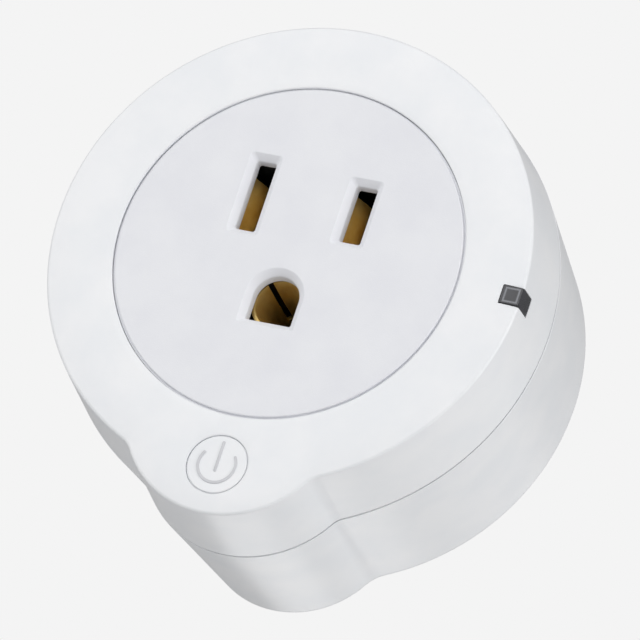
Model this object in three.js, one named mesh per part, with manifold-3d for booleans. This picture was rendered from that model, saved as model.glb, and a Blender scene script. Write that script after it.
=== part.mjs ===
// A round wall-outlet smart plug: a two-shell case with a grounded outlet in front, blades behind,
// and a relay, a mains supply and a radio board between them. Millimetres, +Z up.
// The front faces -Y. The origin is midway between the two blades, on the face that meets the wall.
import * as THREE from 'three';
import { mergeVertices } from 'three/addons/utils/BufferGeometryUtils.js';
import Module from 'manifold-3d';

const wasm = await Module();
wasm.setup();

// ---------------------------------------------------------------- driving dimensions

// Case. The outline is a main circle, a smaller lobe circle below it, and a cove that blends each side.
const mainRadius = 29.2;
const lobeRadius = 13.6;
const lobeReach = 4.3;
const coveRadius = 3.0;
const bodyDepth = 31.5;
const partingDepth = 10.95;
const partingGap = 0.3;
const rimInset = 0.5;
const rimRound = 0.9;
const rearInset = 1.95;
const rearRound = 1.0;
const shellWall = 2.0;
const floorWall = 2.2;
const tongueWall = 0.7;
const tongueLength = 1.5;

// Gaps between neighbouring pieces.
const gap = 0.3;
const windowGap = 0.15;
const boardGap = 0.4;

// Outlet: two blade slots above a ground hole, on the standard three-blade layout.
const bladePitch = 12.7;
const bladeRise = 6.38;
const groundDrop = 11.89;
const ringWidth = 8.65;
const discThickness = 2.0;
const flangeLap = 1.45;
const flangeThickness = 1.2;
const discRecessRim = 1.35;
const slotBevelWidth = 0.75;
const slotBevelDepth = 0.45;
const slotCorner = 0.3;
const neutralSlot = [2.4, 8.7];
const lineSlot = [2.6, 7.1];
const groundHoleRadius = 2.78;
const groundHoleFloor = 3.1;

// Power button, its switch and the light window.
const buttonInset = 6.5;
const buttonRadius = 3.4;
const buttonChamfer = 0.2;
const buttonFlangeRadius = 4.4;
const buttonFlangeThickness = 0.9;
const buttonStemRadius = 1.6;
const buttonTravel = 0.5;
const buttonLength = 4.4;
const guideWall = 0.8;
const guideLength = 2.0;
const iconWidth = 0.35;
const iconRelief = 0.12;
const iconRadius = 2.25;
const iconBarTop = 2.9;
const iconBarBottom = -0.9;
const iconOpening = 0.62;
const switchSize = 6.0;
const switchHeight = 3.0;
const switchWall = 0.6;
const switchBase = 0.35;
const plungerRadius = 1.7;
const plungerCollarRadius = 2.15;
const plungerCollar = 0.25;
const pusherRadius = 1.0;
const domeRadius = 2.3;
const domeRise = 0.35;
const domeThickness = 0.2;
const domeShoulder = 0.6;
const domeShoulderRise = 0.7;
const windowHeight = 2.4;
const windowRise = 0.3;
const windowReach = 2.6;
const windowWrap = 3.3;
const lightPipeWidth = 1.8;
const windowLap = 0.4;
const ledSize = [1.6, 0.8, 1.2];

// Contact block and its contacts.
const blockHalfWidth = 10.4;
const blockTop = 5.5;
const blockBottom = 5.1;
const blockCorner = 2.0;
const contactThickness = 0.5;
const contactHeight = 6.0;
const contactSkirt = 1.0;
const contactMouth = 1.75;
const contactPinch = 0.75;
const contactHalf = 1.35;
const pinchDepth = 5.6;
const contactBaseDepth = 19.0;
const pocketHalfWidth = 2.3;
const pocketHalfHeight = 4.6;
const tailWidth = 1.6;
const tailThickness = 1.0;
const leafRun = 5.0;
const tulipRadius = 2.6;
const tulipMouthRadius = 2.9;
const tulipPinchRadius = 2.25;
const tulipLength = 10.4;
const tulipSlit = 0.8;
const tulipSlitLength = 8.5;
const tulipSlitAngle = 2.25;
const groundTailWidth = 3.0;
const groundTailLap = 1.5;

// Blades, ground pin and what holds them.
const bladeThickness = 1.5;
const bladeWidth = 6.35;
const bladeLength = 17.0;
const bladeChamfer = 0.9;
const bladeHoleRadius = 1.98;
const bladeHoleReach = 11.9;
const bladeShoulder = 1.6;
const shoulderDepth = 1.5;
const tabWidth = 3.2;
const pinRadius = 2.38;
const pinLength = 20.2;
const pinCollarRadius = 3.4;
const spigotRadius = 1.2;
const retainerThickness = 1.8;
const retainerHalfWidth = 9.6;
const retainerBottom = 10.2;
const retainerTop = 11.6;
const strapThickness = 0.8;
const strapHalfWidth = 3.2;
const strapMargin = 1.0;
const sheetThickness = 0.3;

// Boards.
const mainBoardThickness = 1.6;
const controlBoardThickness = 1.2;
const boardSolder = 0.3;
const armClearance = 0.7;
const armTop = 4.5;
const radioBoardSize = [16, 0.8, 13];
const shieldSize = [11, 2.1, 10];
const shieldWall = 0.3;
const shieldShift = -1.5;
const headerPins = 4;
const headerPitch = 2.54;
const headerWidth = 2.5;
const headerHeight = 2.5;
const headerPinSize = 0.64;
const headerDrop = 4.5;

// Case screws, board screws and retainer screws: [head radius, head height, shank radius].
const caseScrew = [1.95, 1.5, 0.95];
const caseScrewLength = 9.5;
const boardScrew = [1.8, 1.3, 0.85];
const boardScrewLength = 5.6;
const retainerScrew = [1.8, 0.95, 0.8];
const screwInset = 5.8;
const screwAngles = [45, 135, 235, 305];
const bossRadius = 2.3;
const postWall = 1.0;
const postEndWall = 2.0;
const boardBossRadius = 2.2;
const retainerBossRadius = 2.0;
const retainerScrewRises = [1.0, 9.8];
const boardScrewShift = 2.0;
const recessWidth = 0.5;
const recessDepth = 0.6;
const recessSpread = 1.1;
const headCrown = 0.35;
const headFlat = 0.6;

// Relay: its case, then its inner works, which set its height.
const relayWidth = 10.2;
const relayLength = 18.4;
const relayWall = 0.6;
const relayBaseHeight = 2.0;
const relayToBlock = 0.9;
const coilDrop = 3.0;
const coreRadius = 1.3;
const poleRadius = 2.4;
const poleHeight = 0.8;
const bobbinWall = 0.7;
const bobbinFlangeRadius = 4.0;
const bobbinFlange = 0.7;
const coilRadius = 3.6;
const coilHeight = 3.6;
const yokeHalfWidth = 3.2;
const yokeThickness = 0.9;
const armatureThickness = 0.8;
const armatureGap = 0.8;
const armatureHalfWidth = 3.0;
const leafThickness = 0.2;
const leafHalfWidth = 2.3;
const contactButtonRadius = 0.9;
const contactButtonHeight = 0.5;
const contactAir = 0.6;
const contactReach = 4.4;
const terminalThickness = 0.5;

// Supply components on the main board.
const filmCapacitorSize = [13, 11, 5];
const filmCapacitorShift = -3.0;
const varistorRadius = 4.0;
const varistorThickness = 3.4;
const fuseRadius = 1.8;
const fuseLength = 8.6;
const fuseCapLength = 1.9;
const fuseNeck = 0.25;
const bulkRadius = 4.0;
const bulkHeight = 12.0;
const bulkSpacing = 9.0;
const outputRadius = 2.5;
const outputHeight = 6.3;
const canGroove = 0.3;
const canGrooveRise = 2.0;
const canGrooveHalf = 0.4;
const chokeRadius = 3.3;
const chokeHeight = 6.6;
const chokeFlange = 1.0;
const chokeHubRadius = 1.4;
const bridgeSize = [5.0, 2.5, 5.0];
const converterSize = [5.0, 1.6, 4.0];
const regulatorSize = [4.5, 1.5, 2.5];
const leadRadius = 0.35;
const leadRoot = 1.0;
const filmLeadInset = 1.5;
const varistorLeadSpread = 2.5;
const varistorLeadStagger = 0.6;
const bulkLeadSpacing = 3.5;
const outputLeadSpacing = 2.0;
const outputShift = 0.8;

// ---------------------------------------------------------------- places that follow from them

const lobeDrop = mainRadius + lobeReach - lobeRadius;
const wallFace = bodyDepth;
const floorFace = bodyDepth - floorWall;
const discRadius = mainRadius - ringWidth;
const discRecessRadius = discRadius - discRecessRim;
const flangeFront = shellWall + gap;
const flangeRadius = discRadius + flangeLap;
const discBack = flangeFront + flangeThickness;
const shoulderBack = floorFace - gap;
const shoulderFront = shoulderBack - shoulderDepth;
const retainerBack = shoulderFront - gap;
const retainerFront = retainerBack - retainerThickness;
const strapBack = retainerFront - gap;
const strapFront = strapBack - strapThickness;
const sheetBack = strapFront - gap - boardSolder;
const sheetFront = sheetBack - sheetThickness;
const mainBack = sheetFront - gap;
const mainFront = mainBack - mainBoardThickness;
const seat = mainFront - gap;
const blockFront = discThickness + gap;
const groundLevel = bladeRise - groundDrop;
const buttonLevel = -(mainRadius + lobeReach - buttonInset);
const plungerTip = buttonLength + gap;
const switchFront = plungerTip + buttonTravel + gap;
const switchBack = switchFront + switchHeight;
const controlFront = switchBack + gap;
const controlBack = controlFront + controlBoardThickness;
const screwCircle = mainRadius - screwInset;
const wellRadius = caseScrew[0] + gap;
const postRadius = wellRadius + postWall;
const postFront = partingDepth + tongueLength + gap;
const screwSeat = postFront + postEndWall + gap;
const caseScrews = screwAngles.map(degrees => polar(screwCircle, degrees));
const relayX = -(blockHalfWidth + relayToBlock + relayWidth / 2);
const bulkX = blockHalfWidth + 4 * gap + bulkRadius;
const armInner = bulkX + bulkRadius + armClearance;
const boardScrews = [
  [armInner, bulkSpacing + gap],
  [relayX - boardScrewShift, -(relayLength / 2 + boardScrew[0] + 5 * gap)],
];
const retainerScrews = retainerScrewRises.map(rise => [0, rise]);

// ---------------------------------------------------------------- shapes

// A point at a radius and an angle in degrees, in the front view.
function polar(radius, degrees) {
  const angle = THREE.MathUtils.degToRad(degrees);
  return [radius * Math.cos(angle), radius * Math.sin(angle)];
}

// Low and high ends of a length about its middle.
function span(middle, length) {
  return [middle - length / 2, middle + length / 2];
}

// Points along an arc in the front view, without its last one. Angles are in radians.
function arc(x, z, radius, from, to, steps) {
  return Array.from({ length: steps }, (_, i) => {
    const angle = from + (to - from) * i / steps;
    return new THREE.Vector2(x + radius * Math.cos(angle), z + radius * Math.sin(angle));
  });
}

// A rectangle with rounded corners in the front view.
function roundedRectangle([x0, x1], [z0, z1], radius, steps = 3) {
  const quarter = Math.PI / 2;
  const corners = [[x1, z0, -1, 1], [x1, z1, -1, -1], [x0, z1, 1, -1], [x0, z0, 1, 1]];
  return corners.flatMap(([x, z, inX, inZ], i) => {
    const from = (i - 1) * quarter;
    const bend = arc(x + inX * radius, z + inZ * radius, radius, from, from + quarter, steps);
    const end = from + quarter;
    bend.push(new THREE.Vector2(
      x + inX * radius + radius * Math.cos(end),
      z + inZ * radius + radius * Math.sin(end)));
    return bend;
  });
}

// A closed geometry as a solid that can be joined and cut.
function solid(geometry) {
  geometry.deleteAttribute('normal');
  geometry.deleteAttribute('uv');
  const merged = mergeVertices(geometry, 1e-5);
  return new wasm.Manifold(new wasm.Mesh({
    numProp: 3,
    vertProperties: merged.attributes.position.array,
    triVerts: new Uint32Array(merged.index.array),
  }));
}

function block([x0, x1], [y0, y1], [z0, z1]) {
  const box = new THREE.BoxGeometry(x1 - x0, y1 - y0, z1 - z0);
  return solid(box.translate((x0 + x1) / 2, (y0 + y1) / 2, (z0 + z1) / 2));
}

// A round bar along the depth.
function rod(radius, [y0, y1], x = 0, z = 0, sides = 24) {
  const bar = new THREE.CylinderGeometry(radius, radius, y1 - y0, sides);
  return solid(bar.translate(x, (y0 + y1) / 2, z));
}

// A turned piece about an axis along the depth. The profile is radius and depth, from front to back.
function turned(profile, x = 0, z = 0, sides = 24) {
  const points = profile.map(([radius, depth]) => new THREE.Vector2(radius, depth));
  return solid(new THREE.LatheGeometry(points, sides).translate(x, 0, z));
}

// An outline in the front view, made solid between two depths.
function plate(points, [y0, y1]) {
  const sheet = new THREE.ExtrudeGeometry(new THREE.Shape(points), {
    depth: y1 - y0, bevelEnabled: false,
  });
  return solid(sheet.rotateX(Math.PI / 2).translate(0, y1, 0));
}

// A bent strip seen from above: a path of x and depth, thickened, with a height along z.
function strip(path, thickness, [z0, z1]) {
  const line = path.map(([x, y]) => new THREE.Vector2(x, y));
  const side = sign => line.map((point, i) => {
    const before = line[Math.max(i - 1, 0)];
    const after = line[Math.min(i + 1, line.length - 1)];
    const into = point.clone().sub(before).normalize();
    const out = after.clone().sub(point).normalize();
    const along = into.add(out).normalize();
    const normal = new THREE.Vector2(-along.y, along.x);
    const leg = (i === 0 ? after : point).clone().sub(i === 0 ? point : before).normalize();
    const mitre = Math.max(along.dot(leg), 0.5);
    return point.clone().addScaledVector(normal, sign * thickness / 2 / mitre);
  });
  const outline = [...side(1), ...side(-1).reverse()];
  const bent = new THREE.ExtrudeGeometry(new THREE.Shape(outline), {
    depth: z1 - z0, bevelEnabled: false,
  });
  return solid(bent.translate(0, 0, z0));
}

// Closed skin through rings of points, each ring at one depth, from front to back.
function skin(rings) {
  const count = rings[0].points.length;
  const positions = rings.flatMap(({ depth, points }) => points.flatMap(p => [p.x, depth, p.y]));
  const index = [];
  for (let ring = 0; ring < rings.length - 1; ring++) {
    for (let i = 0; i < count; i++) {
      const next = (i + 1) % count;
      const [a, b] = [ring * count + i, ring * count + next];
      index.push(a, a + count, b + count, a, b + count, b);
    }
  }
  const cap = (ring, flip) => {
    for (const [a, b, c] of THREE.ShapeUtils.triangulateShape(rings[ring].points, [])) {
      const start = ring * count;
      index.push(start + a, start + (flip ? c : b), start + (flip ? b : c));
    }
  };
  cap(0, false);
  cap(rings.length - 1, true);
  const geometry = new THREE.BufferGeometry();
  geometry.setAttribute('position', new THREE.Float32BufferAttribute(positions, 3));
  geometry.setIndex(index);
  return solid(geometry);
}

function join(first, ...rest) {
  return rest.reduce((whole, piece) => whole.add(piece), first);
}

function cut(first, ...rest) {
  return rest.reduce((whole, piece) => whole.subtract(piece), first);
}

// ---------------------------------------------------------------- case outline

const coveReach = mainRadius + coveRadius;
const lobeCoveReach = lobeRadius + coveRadius;
const coveZ = (lobeCoveReach ** 2 - coveReach ** 2 - lobeDrop ** 2) / (2 * lobeDrop);
const coveX = Math.sqrt(coveReach ** 2 - coveZ ** 2);
const mainAngle = Math.atan2(coveZ, coveX);
const lobeAngle = Math.atan2(coveZ + lobeDrop, coveX);

// The case outline, moved inwards by an inset.
function outline(inset, mainSteps = 54, lobeSteps = 14, coveSteps = 3) {
  const turn = Math.PI;
  const cove = coveRadius + inset;
  return [
    ...arc(0, 0, mainRadius - inset, mainAngle, turn - mainAngle, mainSteps),
    ...arc(-coveX, coveZ, cove, -mainAngle, -lobeAngle, coveSteps),
    ...arc(0, -lobeDrop, lobeRadius - inset, turn - lobeAngle, 2 * turn + lobeAngle, lobeSteps),
    ...arc(coveX, coveZ, cove, turn + lobeAngle, turn + mainAngle, coveSteps),
  ];
}

// How far the tapered side wall stands inside the parting outline at a depth.
function sideInset(depth) {
  if (depth < partingDepth) {
    return rimInset * (partingDepth - depth) / (partingDepth - rimRound);
  }
  return rearInset * (depth - partingDepth) / (bodyDepth - rearRound - partingDepth);
}

// A quarter round between a flat face and the side wall, as depth and inset pairs.
function roundEdge(faceDepth, inward, radius, inset, steps = 3) {
  return Array.from({ length: steps + 1 }, (_, i) => {
    const angle = Math.PI / 2 * i / steps;
    return [
      faceDepth + inward * radius * (1 - Math.cos(angle)),
      inset + radius * (1 - Math.sin(angle)),
    ];
  });
}

function shell(sections) {
  return skin(sections.map(([depth, inset]) => ({ depth, points: outline(inset) })));
}

// The space inside the walls between two depths, shrunk by a margin.
function inside([y0, y1], margin) {
  return shell([y0, y1].map(depth => [depth, sideInset(depth) + margin]));
}

// ---------------------------------------------------------------- materials and the model

const looks = {
  caseWhite: [0xf2f3f5, 0.35, 0],
  faceWhite: [0xe4e6ea, 0.55, 0],
  smokedWindow: [0x55565c, 0.2, 0],
  ledYellow: [0xf0e6a0, 0.4, 0],
  brass: [0xc9a24a, 0.3, 1],
  nickel: [0xc8c6c0, 0.25, 1],
  steel: [0x9a9ba0, 0.3, 1],
  copper: [0xb8693a, 0.35, 1],
  blackPlastic: [0x1d1d20, 0.5, 0],
  greyPlastic: [0x6e7278, 0.5, 0],
  whitePlastic: [0xe8e6df, 0.5, 0],
  boardGreen: [0x1f5a36, 0.45, 0],
  boardBlue: [0x1c3c78, 0.45, 0],
  sheetFish: [0x3c4046, 0.7, 0],
  relayBlue: [0x2458a8, 0.35, 0],
  filmYellow: [0xd9b62c, 0.4, 0],
  discBlue: [0x2a5fb0, 0.4, 0],
  fuseCeramic: [0xd9d4c4, 0.5, 0],
  ferrite: [0x3a3a3c, 0.6, 0],
};
const materials = Object.fromEntries(Object.entries(looks).map(([name, [color, roughness, metalness]]) =>
  [name, new THREE.MeshStandardMaterial({ name, color, roughness, metalness })]));

// Pieces are drawn with the outlet's centre line as y, and the depth behind the outlet's face as its value.
const plug = new THREE.Group();
const body = new THREE.Group();
body.position.set(0, -bodyDepth, -bladeRise);
plug.add(body);

function piece(name, shape, look) {
  const { vertProperties, triVerts, numProp } = shape.getMesh();
  const geometry = new THREE.BufferGeometry();
  const count = vertProperties.length / numProp;
  const positions = Array.from({ length: count }, (_, i) =>
    [...vertProperties.subarray(i * numProp, i * numProp + 3)]).flat();
  geometry.setAttribute('position', new THREE.Float32BufferAttribute(positions, 3));
  geometry.setIndex([...triVerts]);
  geometry.computeVertexNormals();
  const mesh = new THREE.Mesh(geometry, materials[look]);
  mesh.name = name;
  body.add(mesh);
}

// ---------------------------------------------------------------- outlet openings

const neutralX = -bladePitch / 2;
const lineX = bladePitch / 2;

// A slot's opening through the face: a shallow bevel round a straight passage.
function bevelledSlot(x, [width, height]) {
  const rectangle = margin => roundedRectangle(
    span(x, width + 2 * margin), span(bladeRise, height + 2 * margin), slotCorner + margin / 4);
  return bevelled(rectangle);
}

function groundOutline(margin) {
  const radius = groundHoleRadius + margin;
  const floor = groundLevel - groundHoleFloor - margin;
  return [
    ...arc(0, groundLevel, radius, 0, Math.PI, 14),
    new THREE.Vector2(-radius, groundLevel),
    new THREE.Vector2(-radius, floor),
    new THREE.Vector2(radius, floor),
  ];
}

// The bevel starts a little in front of the face, so the cut leaves no skin.
function bevelled(outlineAt) {
  const slope = slotBevelWidth / slotBevelDepth;
  return skin([
    { depth: -gap, points: outlineAt(slotBevelWidth + gap * slope) },
    { depth: slotBevelDepth, points: outlineAt(0) },
    { depth: discBack + gap, points: outlineAt(0) },
  ]);
}

// ---------------------------------------------------------------- case pieces

// Front shell: the ring round the outlet and the side wall down to the parting line.
const frontEnd = partingDepth - partingGap / 2;
const ringBore = discRadius + gap;
const windowX = mainRadius - rimInset - windowReach;
const windowZ = span(windowRise, windowHeight);
const windowNotch = margin => block(
  [windowX - margin, mainRadius + 1], [-1, windowWrap + margin],
  [windowZ[0] - margin, windowZ[1] + margin]);
const frontSkin = shell([
  ...roundEdge(0, 1, rimRound, rimInset),
  [frontEnd, sideInset(frontEnd)],
]);
const guideRadius = buttonFlangeRadius + gap;
const bossEnd = postFront - gap;
piece('front_cover', cut(
  join(
    cut(frontSkin, inside([shellWall, frontEnd + 1], shellWall)),
    frontSkin.intersect(rod(guideRadius + guideWall, [1, shellWall + guideLength], 0, buttonLevel)),
    ...caseScrews.map(([x, z]) => rod(bossRadius, [shellWall / 2, bossEnd], x, z, 20)),
  ),
  inside([frontEnd - tongueLength, frontEnd + 1], shellWall - tongueWall - gap)
    .subtract(inside([frontEnd - tongueLength - 1, bossEnd + 1], shellWall + gap)),
  rod(ringBore, [-1, shellWall + 1], 0, 0, 72),
  rod(buttonRadius + gap, [-1, shellWall + 1], 0, buttonLevel, 28),
  rod(guideRadius, [shellWall, shellWall + guideLength + 1], 0, buttonLevel, 28),
  windowNotch(windowGap),
  ...caseScrews.map(([x, z]) => rod(caseScrew[2] + gap, [shellWall + 1, bossEnd + 1], x, z, 12)),
), 'caseWhite');

// Outlet face: a disc with a flange behind the ring, notched where the screw bosses stand.
piece('outlet_face', cut(
  join(
    rod(discRadius, [0, flangeFront], 0, 0, 72),
    rod(flangeRadius, [flangeFront, discBack], 0, 0, 72),
  ),
  rod(discRecessRadius, [discThickness, discBack + 1], 0, 0, 48),
  ...caseScrews.map(([x, z]) => rod(bossRadius + gap, [discThickness, discBack + 1], x, z, 20)),
  rod(guideRadius + guideWall + gap, [discThickness, discBack + 1], 0, buttonLevel, 28),
  bevelledSlot(neutralX, neutralSlot),
  bevelledSlot(lineX, lineSlot),
  bevelled(groundOutline),
), 'faceWhite');

// Rear shell: tapered wall and floor, screw posts with deep wells, board bosses and blade openings.
const rearStart = partingDepth + partingGap / 2;
const tongue = inside([rearStart - tongueLength + gap, rearStart + 1], shellWall - tongueWall)
  .subtract(inside([rearStart - tongueLength - 1, rearStart + 2], shellWall));
const boardBossFront = mainBack + gap;
const retainerBossFront = retainerBack + gap;
const bladeOpening = x => block(
  span(x, bladeThickness + 2 * gap), [floorFace - 1, wallFace + 1], span(bladeRise, bladeWidth + 2 * gap));
piece('rear_cover', cut(
  join(
    cut(
      shell([
        [rearStart, sideInset(rearStart)],
        ...roundEdge(bodyDepth, -1, rearRound, rearInset).reverse(),
      ]),
      inside([rearStart - 1, floorFace], shellWall)),
    tongue,
    ...caseScrews.map(([x, z]) => rod(postRadius, [postFront, floorFace + 1], x, z, 20)),
    ...boardScrews.map(([x, z]) => rod(boardBossRadius, [boardBossFront, floorFace + 1], x, z, 16)),
    ...retainerScrews.map(([x, z]) =>
      rod(retainerBossRadius, [retainerBossFront, floorFace + 1], x, z, 16)),
  ),
  ...caseScrews.map(([x, z]) => rod(wellRadius, [screwSeat - gap, wallFace + 1], x, z, 20)),
  ...caseScrews.map(([x, z]) => rod(caseScrew[2] + gap, [postFront - 1, wallFace], x, z, 12)),
  ...boardScrews.map(([x, z]) => rod(boardScrew[2] + gap, [boardBossFront - 1, floorFace], x, z, 12)),
  ...retainerScrews.map(([x, z]) =>
    rod(retainerScrew[2] + gap, [retainerBossFront - 1, floorFace], x, z, 12)),
  bladeOpening(neutralX),
  bladeOpening(lineX),
  rod(pinRadius + gap, [floorFace - 1, wallFace + 1], 0, groundLevel, 24),
), 'caseWhite');

// Button cap: a flanged cap that slides in the ring, with a raised power symbol.
const iconArc = [
  ...arc(0, buttonLevel, iconRadius + iconWidth / 2,
    Math.PI / 2 + iconOpening, 2.5 * Math.PI - iconOpening, 18),
  ...arc(0, buttonLevel, iconRadius - iconWidth / 2,
    2.5 * Math.PI - iconOpening, Math.PI / 2 + iconOpening, 18),
];
piece('power_button', join(
  turned([
    [0, 0], [buttonRadius - buttonChamfer, 0], [buttonRadius, buttonChamfer],
    [buttonRadius, flangeFront], [buttonFlangeRadius, flangeFront],
    [buttonFlangeRadius, flangeFront + buttonFlangeThickness],
    [buttonStemRadius, flangeFront + buttonFlangeThickness],
    [buttonStemRadius, buttonLength], [0, buttonLength],
  ], 0, buttonLevel, 28),
  plate(iconArc, [-iconRelief, gap]),
  block(span(0, iconWidth), [-iconRelief, gap], [buttonLevel + iconBarBottom, buttonLevel + iconBarTop]),
), 'caseWhite');

// Light window: a smoked square corner, flush with the ring and the side, and a light pipe behind it.
const pipeBack = controlFront - gap - ledSize[1] - gap;
const pipeEdge = mainRadius - rimInset - shellWall - gap;
const pipeX = [pipeEdge - lightPipeWidth, pipeEdge];
const windowSkin = shell([0, windowWrap + 1].map(depth => [depth, sideInset(depth)]));
piece('light_window', join(
  windowNotch(0).intersect(windowSkin),
  block([pipeX[0], windowX + windowLap], [flangeFront, windowWrap], span(windowRise, lightPipeWidth)),
  block(pipeX, [flangeFront, pipeBack], span(windowRise, lightPipeWidth)),
), 'smokedWindow');

// ---------------------------------------------------------------- outlet contacts and their block

const tailZ = [bladeRise + contactHeight / 2 - tailWidth, bladeRise + contactHeight / 2];
const tailEnd = mainBack + boardSolder;
piece('socket_block', cut(
  plate(roundedRectangle([-blockHalfWidth, blockHalfWidth],
    [groundLevel - blockBottom, bladeRise + blockTop], blockCorner), [blockFront, seat]),
  ...[neutralX, lineX].map(x => block(
    span(x, 2 * pocketHalfWidth), [blockFront - 1, seat + 1], span(bladeRise, 2 * pocketHalfHeight))),
  rod(tulipMouthRadius + contactThickness + gap, [blockFront - 1, seat + 1], 0, groundLevel, 24),
  block(span(0, groundTailWidth + 2 * gap), [blockFront + tulipLength / 2, seat + 1],
    [groundLevel - tulipRadius - contactThickness - 3 * gap, groundLevel]),
), 'blackPlastic');

// Blade contact: a folded clip whose two leaves pinch the blade, with a tail into the board.
function bladeContact(x) {
  const front = blockFront + gap;
  const half = [
    [contactMouth, front], [contactPinch, pinchDepth], [contactHalf, pinchDepth + leafRun],
    [contactHalf, contactBaseDepth],
  ];
  const path = [...half.map(([dx, y]) => [x - dx, y]), ...half.map(([dx, y]) => [x + dx, y]).reverse()];
  return join(
    strip(path, contactThickness,
      [bladeRise - contactHeight / 2 - contactSkirt, bladeRise + contactHeight / 2]),
    block(span(x, tailThickness), [contactBaseDepth, tailEnd], tailZ),
  );
}
piece('neutral_contact', bladeContact(neutralX), 'brass');
piece('line_contact', bladeContact(lineX), 'brass');

// Ground contact: a split tube that narrows in the middle, with a flat tail along its underside.
const tulipFront = blockFront + gap;
const tulipBack = tulipFront + tulipLength;
const tulipWaist = tulipFront + tulipLength / 2;
const tailLevel = groundLevel - tulipRadius - contactThickness;
const slit = block([-tulipSlit / 2, tulipSlit / 2],
  [tulipFront - 1, tulipFront + tulipSlitLength], [0, 2 * tulipRadius]);
piece('ground_contact', join(
  cut(
    turned([[tulipMouthRadius, tulipFront], [tulipMouthRadius + contactThickness, tulipFront],
      [tulipPinchRadius + contactThickness, tulipWaist], [tulipRadius + contactThickness, tulipBack],
      [tulipRadius, tulipBack], [tulipPinchRadius, tulipWaist], [tulipMouthRadius, tulipFront]],
    0, groundLevel),
    slit.rotate([0, -THREE.MathUtils.radToDeg(tulipSlitAngle - Math.PI / 2), 0])
      .translate([0, 0, groundLevel]),
    slit.rotate([0, -THREE.MathUtils.radToDeg(tulipSlitAngle + Math.PI / 2), 0])
      .translate([0, 0, groundLevel]),
  ),
  block(span(0, groundTailWidth), [tulipBack - groundTailLap, strapBack],
    [tailLevel - gap, tailLevel + contactThickness]),
), 'brass');

// ---------------------------------------------------------------- blades and what holds them

// Blade: a flat blade with a chamfered tip and a hole, shoulders inside, and a tab to the board.
const tabZ = [bladeRise - contactHeight / 2, bladeRise - contactHeight / 2 + tabWidth];
function blade(x) {
  const tip = wallFace + bladeLength;
  const [z0, z1] = span(bladeRise, bladeWidth);
  const side = new THREE.Shape([
    [shoulderBack, z0], [tip - bladeChamfer, z0], [tip, z0 + bladeChamfer],
    [tip, z1 - bladeChamfer], [tip - bladeChamfer, z1], [shoulderBack, z1],
    [shoulderBack, z1 + bladeShoulder], [shoulderFront, z1 + bladeShoulder], [shoulderFront, tabZ[1]],
    [mainFront, tabZ[1]], [mainFront, tabZ[0]],
    [shoulderFront, tabZ[0]], [shoulderFront, z0 - bladeShoulder], [shoulderBack, z0 - bladeShoulder],
  ].map(([depth, z]) => new THREE.Vector2(depth, z)));
  const hole = new THREE.Path();
  hole.absarc(wallFace + bladeHoleReach, bladeRise, bladeHoleRadius, 0, 2 * Math.PI);
  side.holes.push(hole);
  const sheet = new THREE.ExtrudeGeometry(side, {
    depth: bladeThickness, bevelEnabled: false, curveSegments: 10,
  });
  // The side view's depth runs along x: a quarter turn about z and one about y set it along y.
  const turn = new THREE.Matrix4().makeBasis(
    new THREE.Vector3(0, 1, 0), new THREE.Vector3(0, 0, 1), new THREE.Vector3(1, 0, 0));
  return solid(sheet.applyMatrix4(turn).translate(x - bladeThickness / 2, 0, 0));
}
piece('neutral_blade', blade(neutralX), 'nickel');
piece('line_blade', blade(lineX), 'nickel');

const pinTip = wallFace + pinLength;
piece('ground_pin', turned([
  [0, strapFront - gap], [spigotRadius, strapFront - gap], [spigotRadius, shoulderFront],
  [pinCollarRadius, shoulderFront], [pinCollarRadius, shoulderBack], [pinRadius, shoulderBack],
  [pinRadius, pinTip - pinRadius],
  ...[1, 2, 3].map(i => [
    pinRadius * Math.cos(i * Math.PI / 8), pinTip - pinRadius + pinRadius * Math.sin(i * Math.PI / 8)]),
  [0, pinTip],
], 0, groundLevel), 'nickel');

piece('ground_strap', cut(
  block([-strapHalfWidth, strapHalfWidth], [strapFront, strapBack],
    [tailLevel - strapMargin - gap, groundLevel + spigotRadius + strapMargin + gap]),
  rod(spigotRadius + gap, [strapFront - 1, strapBack + 1], 0, groundLevel, 16),
  block(span(0, groundTailWidth + 2 * gap), [strapFront - 1, strapBack + 1],
    [tailLevel - 2 * gap, tailLevel + contactThickness + gap]),
), 'brass');

const tabOpening = (x, [y0, y1]) => block(
  span(x, bladeThickness + 2 * gap), [y0 - 1, y1 + 1], [tabZ[0] - gap, tabZ[1] + gap]);
piece('blade_retainer', cut(
  plate(roundedRectangle([-retainerHalfWidth, retainerHalfWidth],
    [-retainerBottom, retainerTop], blockCorner), [retainerFront, retainerBack]),
  tabOpening(neutralX, [retainerFront, retainerBack]),
  tabOpening(lineX, [retainerFront, retainerBack]),
  rod(spigotRadius + gap, [retainerFront - 1, retainerBack + 1], 0, groundLevel, 16),
  ...retainerScrews.map(([x, z]) =>
    rod(retainerScrew[2] + gap, [retainerFront - 1, retainerBack + 1], x, z, 12)),
), 'greyPlastic');

// ---------------------------------------------------------------- screws

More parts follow.
